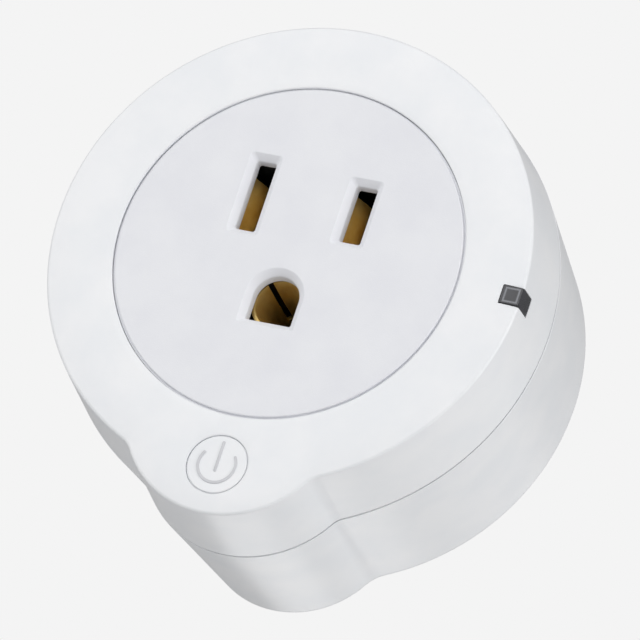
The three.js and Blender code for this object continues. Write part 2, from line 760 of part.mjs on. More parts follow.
// A pan-head screw with a cross recess. The head's underside is at the seat; the shank runs along side.
function screw([headRadius, headHeight, shankRadius], length, x, z, seatDepth, side) {
  const crown = headHeight * headCrown;
  const at = distance => seatDepth - side * distance;
  const profile = [
    [0, at(headHeight)], [headRadius * headFlat, at(headHeight)], [headRadius, at(headHeight - crown)],
    [headRadius, at(0)], [shankRadius, at(0)], [shankRadius, at(-length + shankRadius)],
    [0, at(-length)],
  ];
  const turnedScrew = turned(side > 0 ? profile : profile.reverse(), x, z, 12);
  const recess = [at(headHeight + 1), at(headHeight - recessDepth)].sort((a, b) => a - b);
  return cut(
    turnedScrew,
    block(span(x, recessWidth), recess, span(z, headRadius * recessSpread)),
    block(span(x, headRadius * recessSpread), recess, span(z, recessWidth)),
  );
}
caseScrews.forEach(([x, z], i) =>
  piece(`case_screw_${i + 1}`, screw(caseScrew, caseScrewLength, x, z, screwSeat, -1), 'steel'));
boardScrews.forEach(([x, z], i) =>
  piece(`board_screw_${i + 1}`, screw(boardScrew, boardScrewLength, x, z, seat, 1), 'steel'));
retainerScrews.forEach(([x, z], i) => piece(`retainer_screw_${i + 1}`,
  screw(retainerScrew, floorFace - retainerFront, x, z, retainerFront - gap, 1), 'steel'));

// ---------------------------------------------------------------- main board

// Every lead through the main board, as x, z and half sizes, so that its hole follows it.
const throughBoard = [];
function lead(x, z, halfX, halfZ, from) {
  throughBoard.push([x, z, halfX, halfZ]);
  return block(span(x, 2 * halfX), [from, mainBack + boardSolder], span(z, 2 * halfZ));
}
const wire = (x, z, from) => lead(x, z, leadRadius, leadRadius, from);

// Film capacitor, standing above the contact block.
const blockTopEdge = bladeRise + blockTop;
const filmZ = [blockTopEdge + 3 * gap, blockTopEdge + 3 * gap + filmCapacitorSize[2]];
const filmMiddle = (filmZ[0] + filmZ[1]) / 2;
const filmX = span(filmCapacitorShift, filmCapacitorSize[0]);
piece('film_capacitor', join(
  block(filmX, [seat - filmCapacitorSize[1], seat], filmZ),
  wire(filmX[0] + filmLeadInset, filmMiddle, seat - leadRoot),
  wire(filmX[1] - filmLeadInset, filmMiddle, seat - leadRoot),
), 'filmYellow');

// Varistor: a coated disc standing on its edge, and the fuse beside it.
const topRowZ = filmZ[1] + 5 * gap + varistorThickness / 2;
const varistorX = -varistorRadius - 3 * gap;
const varistorMiddle = seat - varistorRadius - gap;
const varistorDisc = solid(new THREE.CylinderGeometry(
  varistorRadius, varistorRadius, varistorThickness, 24).rotateX(Math.PI / 2)
  .translate(varistorX, varistorMiddle, topRowZ));
piece('varistor', join(
  varistorDisc,
  wire(varistorX - varistorLeadSpread, topRowZ + varistorLeadStagger, varistorMiddle),
  wire(varistorX + varistorLeadSpread, topRowZ - varistorLeadStagger, varistorMiddle),
), 'discBlue');

const fuseX = [3 * gap, 3 * gap + fuseLength];
const fuseDepth = seat - fuseRadius;
const fuseBar = (radius, [x0, x1]) => solid(new THREE.CylinderGeometry(radius, radius, x1 - x0, 20)
  .rotateZ(Math.PI / 2).translate((x0 + x1) / 2, fuseDepth, topRowZ));
piece('fuse', join(
  fuseBar(fuseRadius - fuseNeck, [fuseX[0] + gap, fuseX[1] - gap]),
  fuseBar(fuseRadius, [fuseX[0], fuseX[0] + fuseCapLength]),
  fuseBar(fuseRadius, [fuseX[1] - fuseCapLength, fuseX[1]]),
  wire(fuseX[0] + fuseCapLength / 2, topRowZ, fuseDepth),
  wire(fuseX[1] - fuseCapLength / 2, topRowZ, fuseDepth),
), 'fuseCeramic');

// Electrolytic capacitor: a sleeved can with a rolled groove near its base.
function canCapacitor(radius, height, x, z, leadGap) {
  const top = seat - height;
  const groove = seat - canGrooveRise;
  return join(
    turned([[0, top], [radius - canGroove, top], [radius, top + canGroove],
      [radius, groove - canGrooveHalf], [radius - canGroove, groove], [radius, groove + canGrooveHalf],
      [radius, seat], [0, seat]], x, z, 20),
    wire(x, z - leadGap / 2, seat - leadRoot),
    wire(x, z + leadGap / 2, seat - leadRoot),
  );
}
[-1, 1].forEach((sign, i) => piece(`bulk_capacitor_${i + 1}`,
  canCapacitor(bulkRadius, bulkHeight, bulkX, sign * bulkSpacing / 2, bulkLeadSpacing), 'blackPlastic'));

// Lower field: choke, bridge rectifier, converter chip, output capacitor and regulator.
const fieldTop = groundLevel - blockBottom - 3 * gap;
const fieldX = 1.5;
const chokeX = -(fieldX + chokeRadius + 2 * gap);
const chokeZ = fieldTop - chokeRadius;
const chokeTop = seat - chokeHeight;
piece('choke_core', turned([
  [0, chokeTop], [chokeRadius, chokeTop], [chokeRadius, chokeTop + chokeFlange],
  [chokeHubRadius, chokeTop + chokeFlange], [chokeHubRadius, seat - chokeFlange],
  [chokeRadius, seat - chokeFlange], [chokeRadius, seat], [0, seat]], chokeX, chokeZ), 'ferrite');
piece('choke_winding', cut(
  rod(chokeRadius - gap, [chokeTop + chokeFlange + gap, seat - chokeFlange - gap], chokeX, chokeZ),
  rod(chokeHubRadius + gap, [chokeTop, seat], chokeX, chokeZ),
), 'copper');
const bridgeZ = [fieldTop - bridgeSize[2], fieldTop];
piece('bridge_rectifier', block([fieldX, fieldX + bridgeSize[0]], [seat - bridgeSize[1], seat], bridgeZ),
  'blackPlastic');
const converterZ = [bridgeZ[0] - 5 * gap - converterSize[2], bridgeZ[0] - 5 * gap];
piece('converter_chip', block([fieldX, fieldX + converterSize[0]],
  [seat - converterSize[1], seat], converterZ), 'blackPlastic');
const outputZ = chokeZ - chokeRadius - 3 * gap - outputRadius;
piece('output_capacitor', canCapacitor(
  outputRadius, outputHeight, chokeX + outputShift, outputZ, outputLeadSpacing), 'blackPlastic');
const regulatorZ = converterZ[0] - 3 * gap;
piece('regulator', block([0, regulatorSize[0]], [seat - regulatorSize[1], seat],
  [regulatorZ - regulatorSize[2], regulatorZ]), 'blackPlastic');

// ---------------------------------------------------------------- relay

const relaySpanX = span(relayX, relayWidth);
const relaySpanZ = span(0, relayLength);
const relayBaseFront = seat - relayBaseHeight;
const yokeBack = relayBaseFront - gap;
const yokeFront = yokeBack - yokeThickness;
const bobbinBack = yokeFront - gap;
const windingBack = bobbinBack - bobbinFlange - gap;
const windingFront = windingBack - coilHeight;
const bobbinFront = windingFront - gap - bobbinFlange;
const poleBack = bobbinFront - gap;
const poleFront = poleBack - poleHeight;
const armatureBack = poleFront - armatureGap;
const armatureFront = armatureBack - armatureThickness;
const leafBack = armatureFront - gap;
const leafFront = leafBack - leafThickness;
const movingFront = leafFront - contactButtonHeight;
const fixedBack = movingFront - contactAir;
const fixedFront = fixedBack - contactButtonHeight - terminalThickness;
const innerFront = fixedFront - gap;
const relayFront = innerFront - relayWall;
const hingeZ = -coilDrop + bobbinFlangeRadius + gap + yokeThickness / 2;
const contactZ = hingeZ + contactReach;
const terminalZ = relayLength / 2 - relayWall - gap - terminalThickness;
const coilZ = -coilDrop;

piece('relay_cover', cut(
  block(relaySpanX, [relayFront, relayBaseFront - gap], relaySpanZ),
  block(span(relayX, relayWidth - 2 * relayWall), [innerFront, relayBaseFront],
    span(0, relayLength - 2 * relayWall)),
), 'relayBlue');
const coreBore = coreRadius + gap;
piece('relay_core', join(
  rod(poleRadius, [poleFront, poleBack], relayX, coilZ, 20),
  rod(coreRadius, [poleFront, yokeBack], relayX, coilZ, 20),
), 'steel');
piece('relay_bobbin', cut(
  join(
    rod(coreBore + bobbinWall, [bobbinFront, bobbinBack], relayX, coilZ, 20),
    rod(bobbinFlangeRadius, [bobbinFront, bobbinFront + bobbinFlange], relayX, coilZ, 24),
    rod(bobbinFlangeRadius, [bobbinBack - bobbinFlange, bobbinBack], relayX, coilZ, 24),
  ),
  rod(coreBore, [bobbinFront - 1, bobbinBack + 1], relayX, coilZ, 20),
), 'whitePlastic');
piece('relay_coil', cut(
  rod(coilRadius, [windingFront, windingBack], relayX, coilZ, 28),
  rod(coreBore + bobbinWall + gap, [windingFront - 1, windingBack + 1], relayX, coilZ, 20),
), 'copper');
const commonLegZ = coilZ - bobbinFlangeRadius;
piece('relay_yoke', join(
  cut(
    block(span(relayX, 2 * yokeHalfWidth), [yokeFront, yokeBack],
      [coilZ - bobbinFlangeRadius - yokeThickness, hingeZ + yokeThickness / 2]),
    rod(coreRadius + gap, [yokeFront - 1, yokeBack + 1], relayX, coilZ, 20),
  ),
  block(span(relayX, 2 * yokeHalfWidth), [armatureBack + gap, yokeBack], span(hingeZ, yokeThickness)),
  lead(relayX, commonLegZ, tailThickness, leadRadius, yokeFront),
), 'steel');
piece('relay_armature', block(
  span(relayX, 2 * armatureHalfWidth), [armatureFront, armatureBack],
  [coilZ - poleRadius - gap, hingeZ + yokeThickness / 2 + gap]), 'steel');
piece('relay_spring', join(
  block(span(relayX, 2 * leafHalfWidth), [leafFront, leafBack],
    [coilZ, contactZ + contactButtonRadius + leafThickness]),
  rod(contactButtonRadius, [movingFront, leafFront + leafThickness / 2], relayX, contactZ, 16),
), 'copper');
piece('relay_fixed_contact', join(
  block(span(relayX, 2 * leafHalfWidth), [fixedFront, fixedFront + terminalThickness],
    [contactZ - contactButtonRadius, terminalZ + terminalThickness]),
  rod(contactButtonRadius, [fixedFront, fixedBack], relayX, contactZ, 16),
  block(span(relayX, 2 * leafHalfWidth), [fixedFront, yokeBack],
    [terminalZ, terminalZ + terminalThickness]),
  lead(relayX, terminalZ + terminalThickness / 2, tailThickness, terminalThickness / 2, yokeFront),
), 'copper');
const baseHoles = [
  [relayX, commonLegZ, leadRadius],
  [relayX, terminalZ + terminalThickness / 2, terminalThickness / 2],
];
piece('relay_base', cut(
  block(relaySpanX, [relayBaseFront, seat], relaySpanZ),
  ...baseHoles.map(([x, z, halfZ]) => block(
    span(x, 2 * (tailThickness + gap)), [relayBaseFront - 1, seat + 1], span(z, 2 * (halfZ + gap)))),
), 'blackPlastic');

// ---------------------------------------------------------------- header, boards and sheet

const headerX = armInner + headerWidth;
const headerZ = Array.from({ length: headerPins }, (_, i) =>
  -headerDrop + (i - (headerPins - 1) / 2) * headerPitch);
const pinHole = (x, z, [y0, y1]) => block(
  span(x, headerPinSize + 2 * gap), [y0 - 1, y1 + 1], span(z, headerPinSize + 2 * gap));
headerZ.forEach((z, i) => {
  throughBoard.push([headerX, z, headerPinSize / 2, headerPinSize / 2]);
  piece(`header_pin_${i + 1}`, block(
    span(headerX, headerPinSize), [controlFront - boardSolder, mainBack + boardSolder],
    span(z, headerPinSize)), 'brass');
});
const headerFront = controlBack + gap;
piece('header_strip', cut(
  block(span(headerX, headerWidth), [headerFront, headerFront + headerHeight],
    span(-headerDrop, headerPins * headerPitch)),
  ...headerZ.map(z => pinHole(headerX, z, [headerFront, headerFront + headerHeight])),
), 'blackPlastic');

// The contact tails and blade tabs pass through the main board and the sheet behind it.
const solderedStrips = [neutralX, lineX].flatMap(x => [
  [x, (tabZ[0] + tabZ[1]) / 2, bladeThickness / 2, tabWidth / 2],
  [x, bladeRise + contactHeight / 2 - tailWidth / 2, tailThickness / 2, tailWidth / 2],
]);
const groundTailHole = [0, tailLevel + (contactThickness - gap) / 2, groundTailWidth / 2,
  (contactThickness + gap) / 2];
const opening = ([x, z, halfX, halfZ], [y0, y1]) => block(
  span(x, 2 * (halfX + gap)), [y0 - 1, y1 + 1], span(z, 2 * (halfZ + gap)));
const mainSpan = [mainFront, mainBack];
piece('main_board', cut(
  inside(mainSpan, shellWall + boardGap),
  ...caseScrews.map(([x, z]) => rod(postRadius + boardGap, [mainFront - 1, mainBack + 1], x, z, 24)),
  ...boardScrews.map(([x, z]) => rod(boardScrew[2] + gap, [mainFront - 1, mainBack + 1], x, z, 12)),
  ...[...throughBoard, ...solderedStrips, groundTailHole].map(hole => opening(hole, mainSpan)),
), 'boardGreen');

const sheetSpan = [sheetFront, sheetBack];
piece('insulating_sheet', cut(
  plate(roundedRectangle([-retainerHalfWidth, retainerHalfWidth],
    [-retainerBottom, retainerTop], blockCorner), sheetSpan),
  ...[...solderedStrips, groundTailHole].map(hole => opening(hole, sheetSpan)),
), 'sheetFish');

// Control board: fills the lower part of the case and sends an arm up the side to the light.
const controlSpan = [controlFront, controlBack];
const beyond = 2 * mainRadius;
piece('control_board', cut(
  inside(controlSpan, shellWall + boardGap),
  block([-beyond, armInner], [0, mainFront], [fieldTop, beyond]),
  block([0, beyond], [0, mainFront], [armTop, beyond]),
  ...caseScrews.map(([x, z]) => rod(bossRadius + boardGap, [controlFront - 1, controlBack + 1], x, z, 20)),
  ...headerZ.map(z => pinHole(headerX, z, controlSpan)),
), 'boardGreen');

// Radio module on the back of the control board, under a folded shield.
const radioFront = controlBack + gap;
const radioBack = radioFront + radioBoardSize[1];
const radioTop = fieldTop - gap;
const radioMiddle = radioTop - radioBoardSize[2] / 2;
piece('radio_board', block(span(0, radioBoardSize[0]), [radioFront, radioBack],
  span(radioMiddle, radioBoardSize[2])), 'boardBlue');
const shieldFront = radioBack + gap;
piece('shield_can', cut(
  block(span(shieldShift, shieldSize[0]), [shieldFront, shieldFront + shieldSize[1]],
    span(radioMiddle, shieldSize[2])),
  block(span(shieldShift, shieldSize[0] - 2 * shieldWall),
    [shieldFront - 1, shieldFront + shieldSize[1] - shieldWall],
    span(radioMiddle, shieldSize[2] - 2 * shieldWall)),
), 'nickel');

// ---------------------------------------------------------------- switch and light

const cavityFront = switchFront + switchWall;
const collarFront = cavityFront + gap;
const collarBack = collarFront + plungerCollar;
const cavityBack = switchBack - switchBase;
const domeFloor = cavityBack - gap / 2;
const domeTop = domeFloor - domeRise - domeThickness;
const pusherBack = domeTop - buttonTravel - gap / 2;
piece('switch_body', cut(
  block(span(0, switchSize), [switchFront, switchBack], span(buttonLevel, switchSize)),
  rod(plungerRadius + gap, [switchFront - 1, cavityBack], 0, buttonLevel, 20),
  rod(domeRadius + gap, [cavityFront, cavityBack], 0, buttonLevel, 20),
), 'blackPlastic');
piece('switch_plunger', turned([
  [0, plungerTip], [plungerRadius, plungerTip], [plungerRadius, collarFront],
  [plungerCollarRadius, collarFront], [plungerCollarRadius, collarBack], [pusherRadius, collarBack],
  [pusherRadius, pusherBack], [0, pusherBack],
], 0, buttonLevel, 20), 'whitePlastic');
const domeShoulderRadius = domeRadius * domeShoulder;
const domeRidge = domeRise * domeShoulderRise;
piece('switch_dome', turned([
  [0, domeTop], [domeShoulderRadius, domeFloor - domeRidge - domeThickness],
  [domeRadius, domeFloor - domeThickness], [domeRadius, domeFloor],
  [domeShoulderRadius, domeFloor - domeRidge], [0, domeFloor - domeRise],
], 0, buttonLevel, 20), 'steel');

const ledFront = controlFront - gap - ledSize[1];
piece('status_led', block(
  span((pipeX[0] + pipeX[1]) / 2, ledSize[0]), [ledFront, ledFront + ledSize[1]],
  span(windowRise, ledSize[2])), 'ledYellow');

export default plug;
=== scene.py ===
# A round wall-outlet smart plug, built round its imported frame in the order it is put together.
# Shapes are drawn in millimetres from the middle of the outlet's face: x right, y into the wall, z up.
import math
import bmesh
import bpy
from mathutils import Matrix, Vector


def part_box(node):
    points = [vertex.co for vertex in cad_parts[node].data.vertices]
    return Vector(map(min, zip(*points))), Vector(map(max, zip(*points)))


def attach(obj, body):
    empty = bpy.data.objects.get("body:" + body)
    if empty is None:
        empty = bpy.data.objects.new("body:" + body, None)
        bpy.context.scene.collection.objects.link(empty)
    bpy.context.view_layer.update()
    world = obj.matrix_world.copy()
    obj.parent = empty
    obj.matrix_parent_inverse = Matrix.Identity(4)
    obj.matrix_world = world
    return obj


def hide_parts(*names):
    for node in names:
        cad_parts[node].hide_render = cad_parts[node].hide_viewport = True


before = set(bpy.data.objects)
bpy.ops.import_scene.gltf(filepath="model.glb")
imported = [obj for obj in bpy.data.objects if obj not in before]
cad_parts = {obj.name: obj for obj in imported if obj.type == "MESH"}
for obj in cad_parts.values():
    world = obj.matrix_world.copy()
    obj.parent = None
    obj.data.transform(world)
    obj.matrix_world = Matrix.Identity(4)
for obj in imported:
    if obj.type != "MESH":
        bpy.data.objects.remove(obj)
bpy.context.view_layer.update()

# -------------------- rear shell
# The back half of the case: moulded white ABS with a wall that tapers towards the wall outlet.
# A tongue round its rim enters the front shell, and four posts with deep wells take the case screws.
mm = 0.001
outlet_drop = 6.38  # the middle of the outlet's face below the blades' centre line
wall = (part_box("rear_cover")[1].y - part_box("outlet_face")[0].y) / mm
place = Matrix.Translation((0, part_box("outlet_face")[0].y, -outlet_drop * mm)) @ Matrix.Scale(mm, 4)

main_radius = 29.2
lobe_radius = 13.6
lobe_drop = 19.9
cove_radius = 3.0
parting = 10.95
parting_gap = 0.3
shell_wall = 2.0
floor_wall = 2.2
rear_inset = 1.95
rear_round = 1.0
rim_inset = 0.5
tongue_wall = 0.7
tongue_length = 1.5
gap = 0.3

main_reach, lobe_reach = main_radius + cove_radius, lobe_radius + cove_radius
cove_z = (lobe_reach ** 2 - main_reach ** 2 - lobe_drop ** 2) / (2 * lobe_drop)
cove_x = math.sqrt(main_reach ** 2 - cove_z ** 2)
main_angle = math.atan2(cove_z, cove_x)
lobe_angle = math.atan2(cove_z + lobe_drop, cove_x)


def arc(x, z, radius, start, end, steps, whole=False):
    """Points along an arc in the front view. Its last one is left out unless it is whole."""
    angles = [start + (end - start) * i / steps for i in range(steps + whole)]
    return [(x + radius * math.cos(a), z + radius * math.sin(a)) for a in angles]


def outline(inset):
    """The case outline moved inwards: the main circle, the button's lobe and the coves between them."""
    cove = cove_radius + inset
    return (arc(0, 0, main_radius - inset, main_angle, math.pi - main_angle, 216)
            + arc(-cove_x, cove_z, cove, -main_angle, -lobe_angle, 16)
            + arc(0, -lobe_drop, lobe_radius - inset, math.pi - lobe_angle, 2 * math.pi + lobe_angle, 72)
            + arc(cove_x, cove_z, cove, math.pi + lobe_angle, math.pi + main_angle, 16))


def taper(depth):
    """How far the side wall stands inside the parting outline."""
    if depth < parting:
        return rim_inset * (parting - depth) / parting
    return rear_inset * (depth - parting) / (wall - rear_round - parting)


def as_shape(bm, name="shape"):
    """A new object made of the edited geometry."""
    mesh = bpy.data.meshes.new(name)
    bm.to_mesh(mesh)
    bm.free()
    shape = bpy.data.objects.new(name, mesh)
    bpy.context.scene.collection.objects.link(shape)
    return shape


def loft(rings, closed=False):
    """A closed skin through rings of (x, z) points, each at its depth, from front to back."""
    bm = bmesh.new()
    loops = [[bm.verts.new((x, depth, z)) for x, z in points] for depth, points in rings]
    for near, far in zip(loops, loops[1:] + loops[:1] if closed else loops[1:]):
        for i in range(len(near)):
            j = (i + 1) % len(near)
            bm.faces.new((near[i], near[j], far[j], far[i]))
    if not closed:
        bm.faces.new(loops[0])
        bm.faces.new(loops[-1])
    bmesh.ops.recalc_face_normals(bm, faces=bm.faces)
    return as_shape(bm)


def turned(profile, x=0, z=0, steps=64):
    """A turned shape about an axis along the depth, through (radius, depth) pairs."""
    return loft([(depth, arc(x, z, radius, 0, 2 * math.pi, steps)) for radius, depth in profile])


def stood(places, profile, steps=32):
    """The same turned shape at each of several places in the front view."""
    return [turned(profile, x, z, steps) for x, z in places]


def rectangle(x, z, dx, dz):
    """Corners in the front view, from a middle and half sizes."""
    return [(x - dx, z - dz), (x + dx, z - dz), (x + dx, z + dz), (x - dx, z + dz)]


def block(xs, ys, zs):
    """A box between two planes each way."""
    corners = [(xs[0], zs[0]), (xs[1], zs[0]), (xs[1], zs[1]), (xs[0], zs[1])]
    return loft([(ys[0], corners), (ys[1], corners)])


def settle(shape):
    """Applies a shape's modifiers."""
    graph = bpy.context.evaluated_depsgraph_get()
    mesh = bpy.data.meshes.new_from_object(shape.evaluated_get(graph))
    shape.modifiers.clear()
    shape.data = mesh
    return shape


def combine(operation, shape, others):
    """Joins, cuts or intersects a shape with others, which are used up."""
    for other in others:
        modifier = shape.modifiers.new(operation, "BOOLEAN")
        modifier.operation = operation
        modifier.object = other
        modifier.solver = "EXACT"
    settle(shape)
    for other in others:
        bpy.data.objects.remove(other)
    return shape


def join(shape, *others):
    """Adds other shapes to a shape."""
    return combine("UNION", shape, others)


def cut(shape, *others):
    """Takes other shapes out of a shape."""
    return combine("DIFFERENCE", shape, others)


def rounded(shape, width, segments=2, angle=30):
    """Rounds every edge sharper than an angle in degrees."""
    modifier = shape.modifiers.new("round", "BEVEL")
    modifier.width = width
    modifier.segments = segments
    modifier.angle_limit = math.radians(angle)
    return settle(shape)


def linear(colour):
    """An sRGB hex colour as linear light."""
    parts = [int(colour[i:i + 2], 16) / 255 for i in (0, 2, 4)]
    return [c / 12.92 if c <= 0.04045 else ((c + 0.055) / 1.055) ** 2.4 for c in parts] + [1]


def add(tree, kind, settings=(), links=()):
    """Adds a shader node. Settings are its options or socket values, and links feed its sockets
    from other nodes' sockets, or from a whole node's first one."""
    node = tree.nodes.new("ShaderNode" + kind)
    for key, value in dict(settings).items():
        if isinstance(key, str) and hasattr(node, key):
            setattr(node, key, value)
        else:
            node.inputs[key].default_value = value
    for key, source in dict(links).items():
        tree.links.new(getattr(source, "outputs", [source])[0], node.inputs[key])
    return node


def surface(name):
    """A material with its shader, and the place on the piece that its patterns are drawn from."""
    made = bpy.data.materials.new(name)
    made.use_nodes = True
    tree = made.node_tree
    shader = tree.nodes["Principled BSDF"]
    return made, tree, shader, add(tree, "TexCoord").outputs["Object"]


def shade(tree, value, stops):
    """A pattern value as colours, through (position, sRGB hex) stops."""
    ramp = add(tree, "ValToRGB", {}, {"Fac": value})
    stops = sorted(stops)
    while len(ramp.color_ramp.elements) < len(stops):
        ramp.color_ramp.elements.new(0.5)
    for element, (position, colour) in zip(ramp.color_ramp.elements, stops):
        element.position = position
        element.color = linear(colour)
    return ramp.outputs["Color"]


def skinned(tree, shader, colour, pattern, gloss, relief=0.0, height=None):
    """Feeds the shader its colour, its lowest and highest roughness over a pattern, and a relief in mm."""
    tree.links.new(colour, shader.inputs["Base Color"])
    spread = add(tree, "MapRange", {"To Min": gloss[0], "To Max": gloss[1]}, {"Value": pattern})
    tree.links.new(spread.outputs["Result"], shader.inputs["Roughness"])
    if relief:
        bump = add(tree, "Bump", {"Strength": 1.0, "Distance": relief * mm}, {"Height": height or pattern})
        tree.links.new(bump.outputs["Normal"], shader.inputs["Normal"])


def moulded(name, colours, roughness, grain, relief, blotch=6.0, ior=1.5, gloss_spread=0.06):
    """Moulded plastic: sizes in mm. A fine tool grain gives the bump, and a slow drift in the resin
    shifts its colour and gloss a little from place to place."""
    made, tree, shader, at = surface(name)
    drift = add(tree, "TexNoise", {"Scale": 1 / (blotch * mm), "Detail": 3}, {"Vector": at})
    skin = add(tree, "TexNoise", {"Scale": 1 / (grain * mm), "Detail": 4, "Roughness": 0.6}, {"Vector": at})
    skinned(tree, shader, shade(tree, drift, [(0.35, colours[0]), (0.65, colours[1])]),
            skin, (roughness - gloss_spread, roughness + gloss_spread), relief)
    shader.inputs["IOR"].default_value = ior
    return made


def piece(name, shape, finish, body="case", node=None):
    """Puts a finished shape in the frame, on its body. It stands for the CAD node of its own name,
    or another one, or none when there is none of that name."""
    nodes = [n for n in (node or name,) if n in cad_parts]
    shape.data.transform(place)
    shape.name = shape.data.name = name
    shape.data.polygons.foreach_set("use_smooth", [True] * len(shape.data.polygons))
    shape.data.set_sharp_from_angle(angle=math.radians(34))
    even = shape.modifiers.new("even", "WEIGHTED_NORMAL")
    even.keep_sharp = True
    settle(shape)
    shape.data.materials.clear()
    shape.data.materials.append(finish)
    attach(shape, body)
    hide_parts(*nodes)
    return shape


def spot(node):
    """The middle of a node in the front view, in mm from the middle of the outlet's face."""
    low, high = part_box(node)
    middle = place.inverted() @ ((low + high) / 2)
    return middle.x, middle.z


# White ABS with a satin skin: bright and even, with a soft sheen that only shows near the edges.
case_abs = moulded("case_white_abs", ("f1f2f4", "eceef1"), 0.33, grain=0.35, relief=0.0012)

screw_radius = 1.95
well_radius = screw_radius + gap
post_front = parting + tongue_length + gap
screw_seat = 15.05
shank_hole = 1.25
board_boss_front, board_boss_radius, board_pilot = 23.4, 2.2, 1.15
retainer_boss_front, retainer_boss_radius, retainer_pilot = 27.5, 2.0, 1.1
floor_face = wall - floor_wall
case_screws = [spot(f"case_screw_{i}") for i in (1, 2, 3, 4)]
board_screws = [spot(f"board_screw_{i}") for i in (1, 2)]
retainer_screws = [spot(f"retainer_screw_{i}") for i in (1, 2)]
blade_pitch = 12.7
ground_drop = 5.51
rim = parting + parting_gap / 2
lip = 0.25
pin_hole = 2.68
blade_hole = (1.05, 3.475)
tongue_root = rim - tongue_length + gap
side_ends = wall - rear_round
rear = loft([
    (floor_face, outline(taper(floor_face) + shell_wall + 0.6)),
    (floor_face - 0.2, outline(taper(floor_face) + shell_wall + 0.15)),
    (floor_face - 0.6, outline(taper(floor_face) + shell_wall)),
    (rim, outline(taper(rim) + shell_wall)),
    (tongue_root, outline(shell_wall)),
    (tongue_root, outline(shell_wall - tongue_wall + 0.15)),
    (tongue_root + 0.15, outline(shell_wall - tongue_wall)),
    (rim, outline(taper(rim) + shell_wall - tongue_wall)),
    (rim, outline(0.05)),
    (rim + 0.05, outline(0.0)),
    *[(y, outline(taper(y))) for y in [rim + f * (side_ends - rim) for f in (0.25, 0.5, 0.75)]],
    *[(wall - rear_round * (1 - math.sin(a)), outline(rear_inset + rear_round * (1 - math.cos(a))))
      for a in [math.radians(angle) for angle in range(0, 91, 15)]],
])
join(rear, *stood(case_screws, [(well_radius + 1, post_front), (well_radius + 1, floor_face + 1)], 48),
     *stood(board_screws, [(board_boss_radius, board_boss_front), (board_boss_radius, floor_face + 1)]),
     *stood(retainer_screws, [(retainer_boss_radius, retainer_boss_front),
                              (retainer_boss_radius, floor_face + 1)]))
cut(rear, *stood(case_screws, [
        (shank_hole, post_front - 1), (shank_hole, screw_seat - gap), (well_radius, screw_seat - gap),
        (well_radius, wall - lip), (well_radius + 0.3 * lip, wall - 0.3 * lip),
        (well_radius + lip, wall), (well_radius + lip, wall + 1)], 48),
    *stood(board_screws, [(board_pilot, board_boss_front - 1), (board_pilot, floor_face)]),
    *stood(retainer_screws, [(retainer_pilot, retainer_boss_front - 1), (retainer_pilot, floor_face)]),
    turned([(pin_hole, floor_face - 1), (pin_hole, wall - lip), (pin_hole + lip, wall),
            (pin_hole + lip, wall + 1)], 0, -ground_drop, 48),
    *[loft([(y, rectangle(x, outlet_drop, blade_hole[0] + grown, blade_hole[1] + grown)) for y, grown in (
        (floor_face - 1, 0), (wall - lip, 0), (wall, lip), (wall + 1, lip))])
      for x in (-blade_pitch / 2, blade_pitch / 2)])
piece("rear_shell", rear, case_abs, node="rear_cover")

# -------------------- blades and ground pin
# Two flat brass blades and a round brass pin, nickel plated, with shoulders held behind the floor.
# The blades are blanked from strip and tumbled, so their long faces keep a faint lengthwise grain.
def plated(name, colours, roughness, grain, along="Y", stretch=14, relief=0.002):
    """Bare or plated metal, drawn or rolled along one axis. The grain's width is in mm."""
    made, tree, shader, at = surface(name)
    squeeze = [1.0, 1.0, 1.0]
    squeeze["XYZ".index(along)] = 1 / stretch
    drawn = add(tree, "Mapping", {"Scale": squeeze}, {"Vector": at})
    lines = add(tree, "TexNoise", {"Scale": 1 / (grain * mm), "Detail": 3},
                {"Vector": drawn})
    tarnish = add(tree, "TexNoise", {"Scale": 1 / (2.5 * mm), "Detail": 4}, {"Vector": at})
    skinned(tree, shader, shade(tree, tarnish, [(0.3, colours[0]), (0.7, colours[1])]),
            lines, (roughness - 0.08, roughness + 0.1), relief)
    shader.inputs["Metallic"].default_value = 1.0
    return made


# Nickel plate: a warm grey mirror, dulled along the grain.
nickel = plated("blade_nickel_plate", ("c9c5bd", "bdb9b0"), 0.24, grain=0.12)
blade_length = 17.0
blade_half = 3.175
blade_thickness = 1.5
blade_hole_radius = 1.98
blade_hole_reach = 11.9
tip_cut = 1.1
shoulder = (floor_face - gap - 1.5, floor_face - gap)
shoulder_step = 1.6
tab = (3.38, 6.58)
main_front = 21.5
tip = wall + blade_length
for name, x in (("neutral_blade", -blade_pitch / 2), ("line_blade", blade_pitch / 2)):
    thick = (x - blade_thickness / 2, x + blade_thickness / 2)
    wide = [outlet_drop + side * blade_half for side in (-1, 1)]
    blade = join(block(thick, (shoulder[0], tip), wide),
                 block(thick, shoulder, (wide[0] - shoulder_step, wide[1] + shoulder_step)),
                 block(thick, (main_front, shoulder[1]), tab))
    hole = turned([(blade_hole_radius, -2), (blade_hole_radius, 2)], 0, 0, 48)
    hole.data.transform(Matrix.Translation((x, wall + blade_hole_reach, outlet_drop))
                        @ Matrix.Rotation(math.pi / 2, 4, "Z"))
    cutters = [hole]
    for side in (-1, 1):
        wedge = [(tip - tip_cut, side * (blade_half + 0.2)), (tip + 0.2, side * (blade_half - tip_cut)),
                 (tip + 1, side * (blade_half + 1))]
        corner = loft([(-2, wedge), (2, wedge)])
        corner.data.transform(Matrix(((0, 1, 0, x), (1, 0, 0, 0), (0, 0, 1, outlet_drop), (0, 0, 0, 1))))
        corner.data.flip_normals()
        cutters.append(corner)
    cut(blade, *cutters)
    piece(name, rounded(blade, 0.22, 3), nickel)

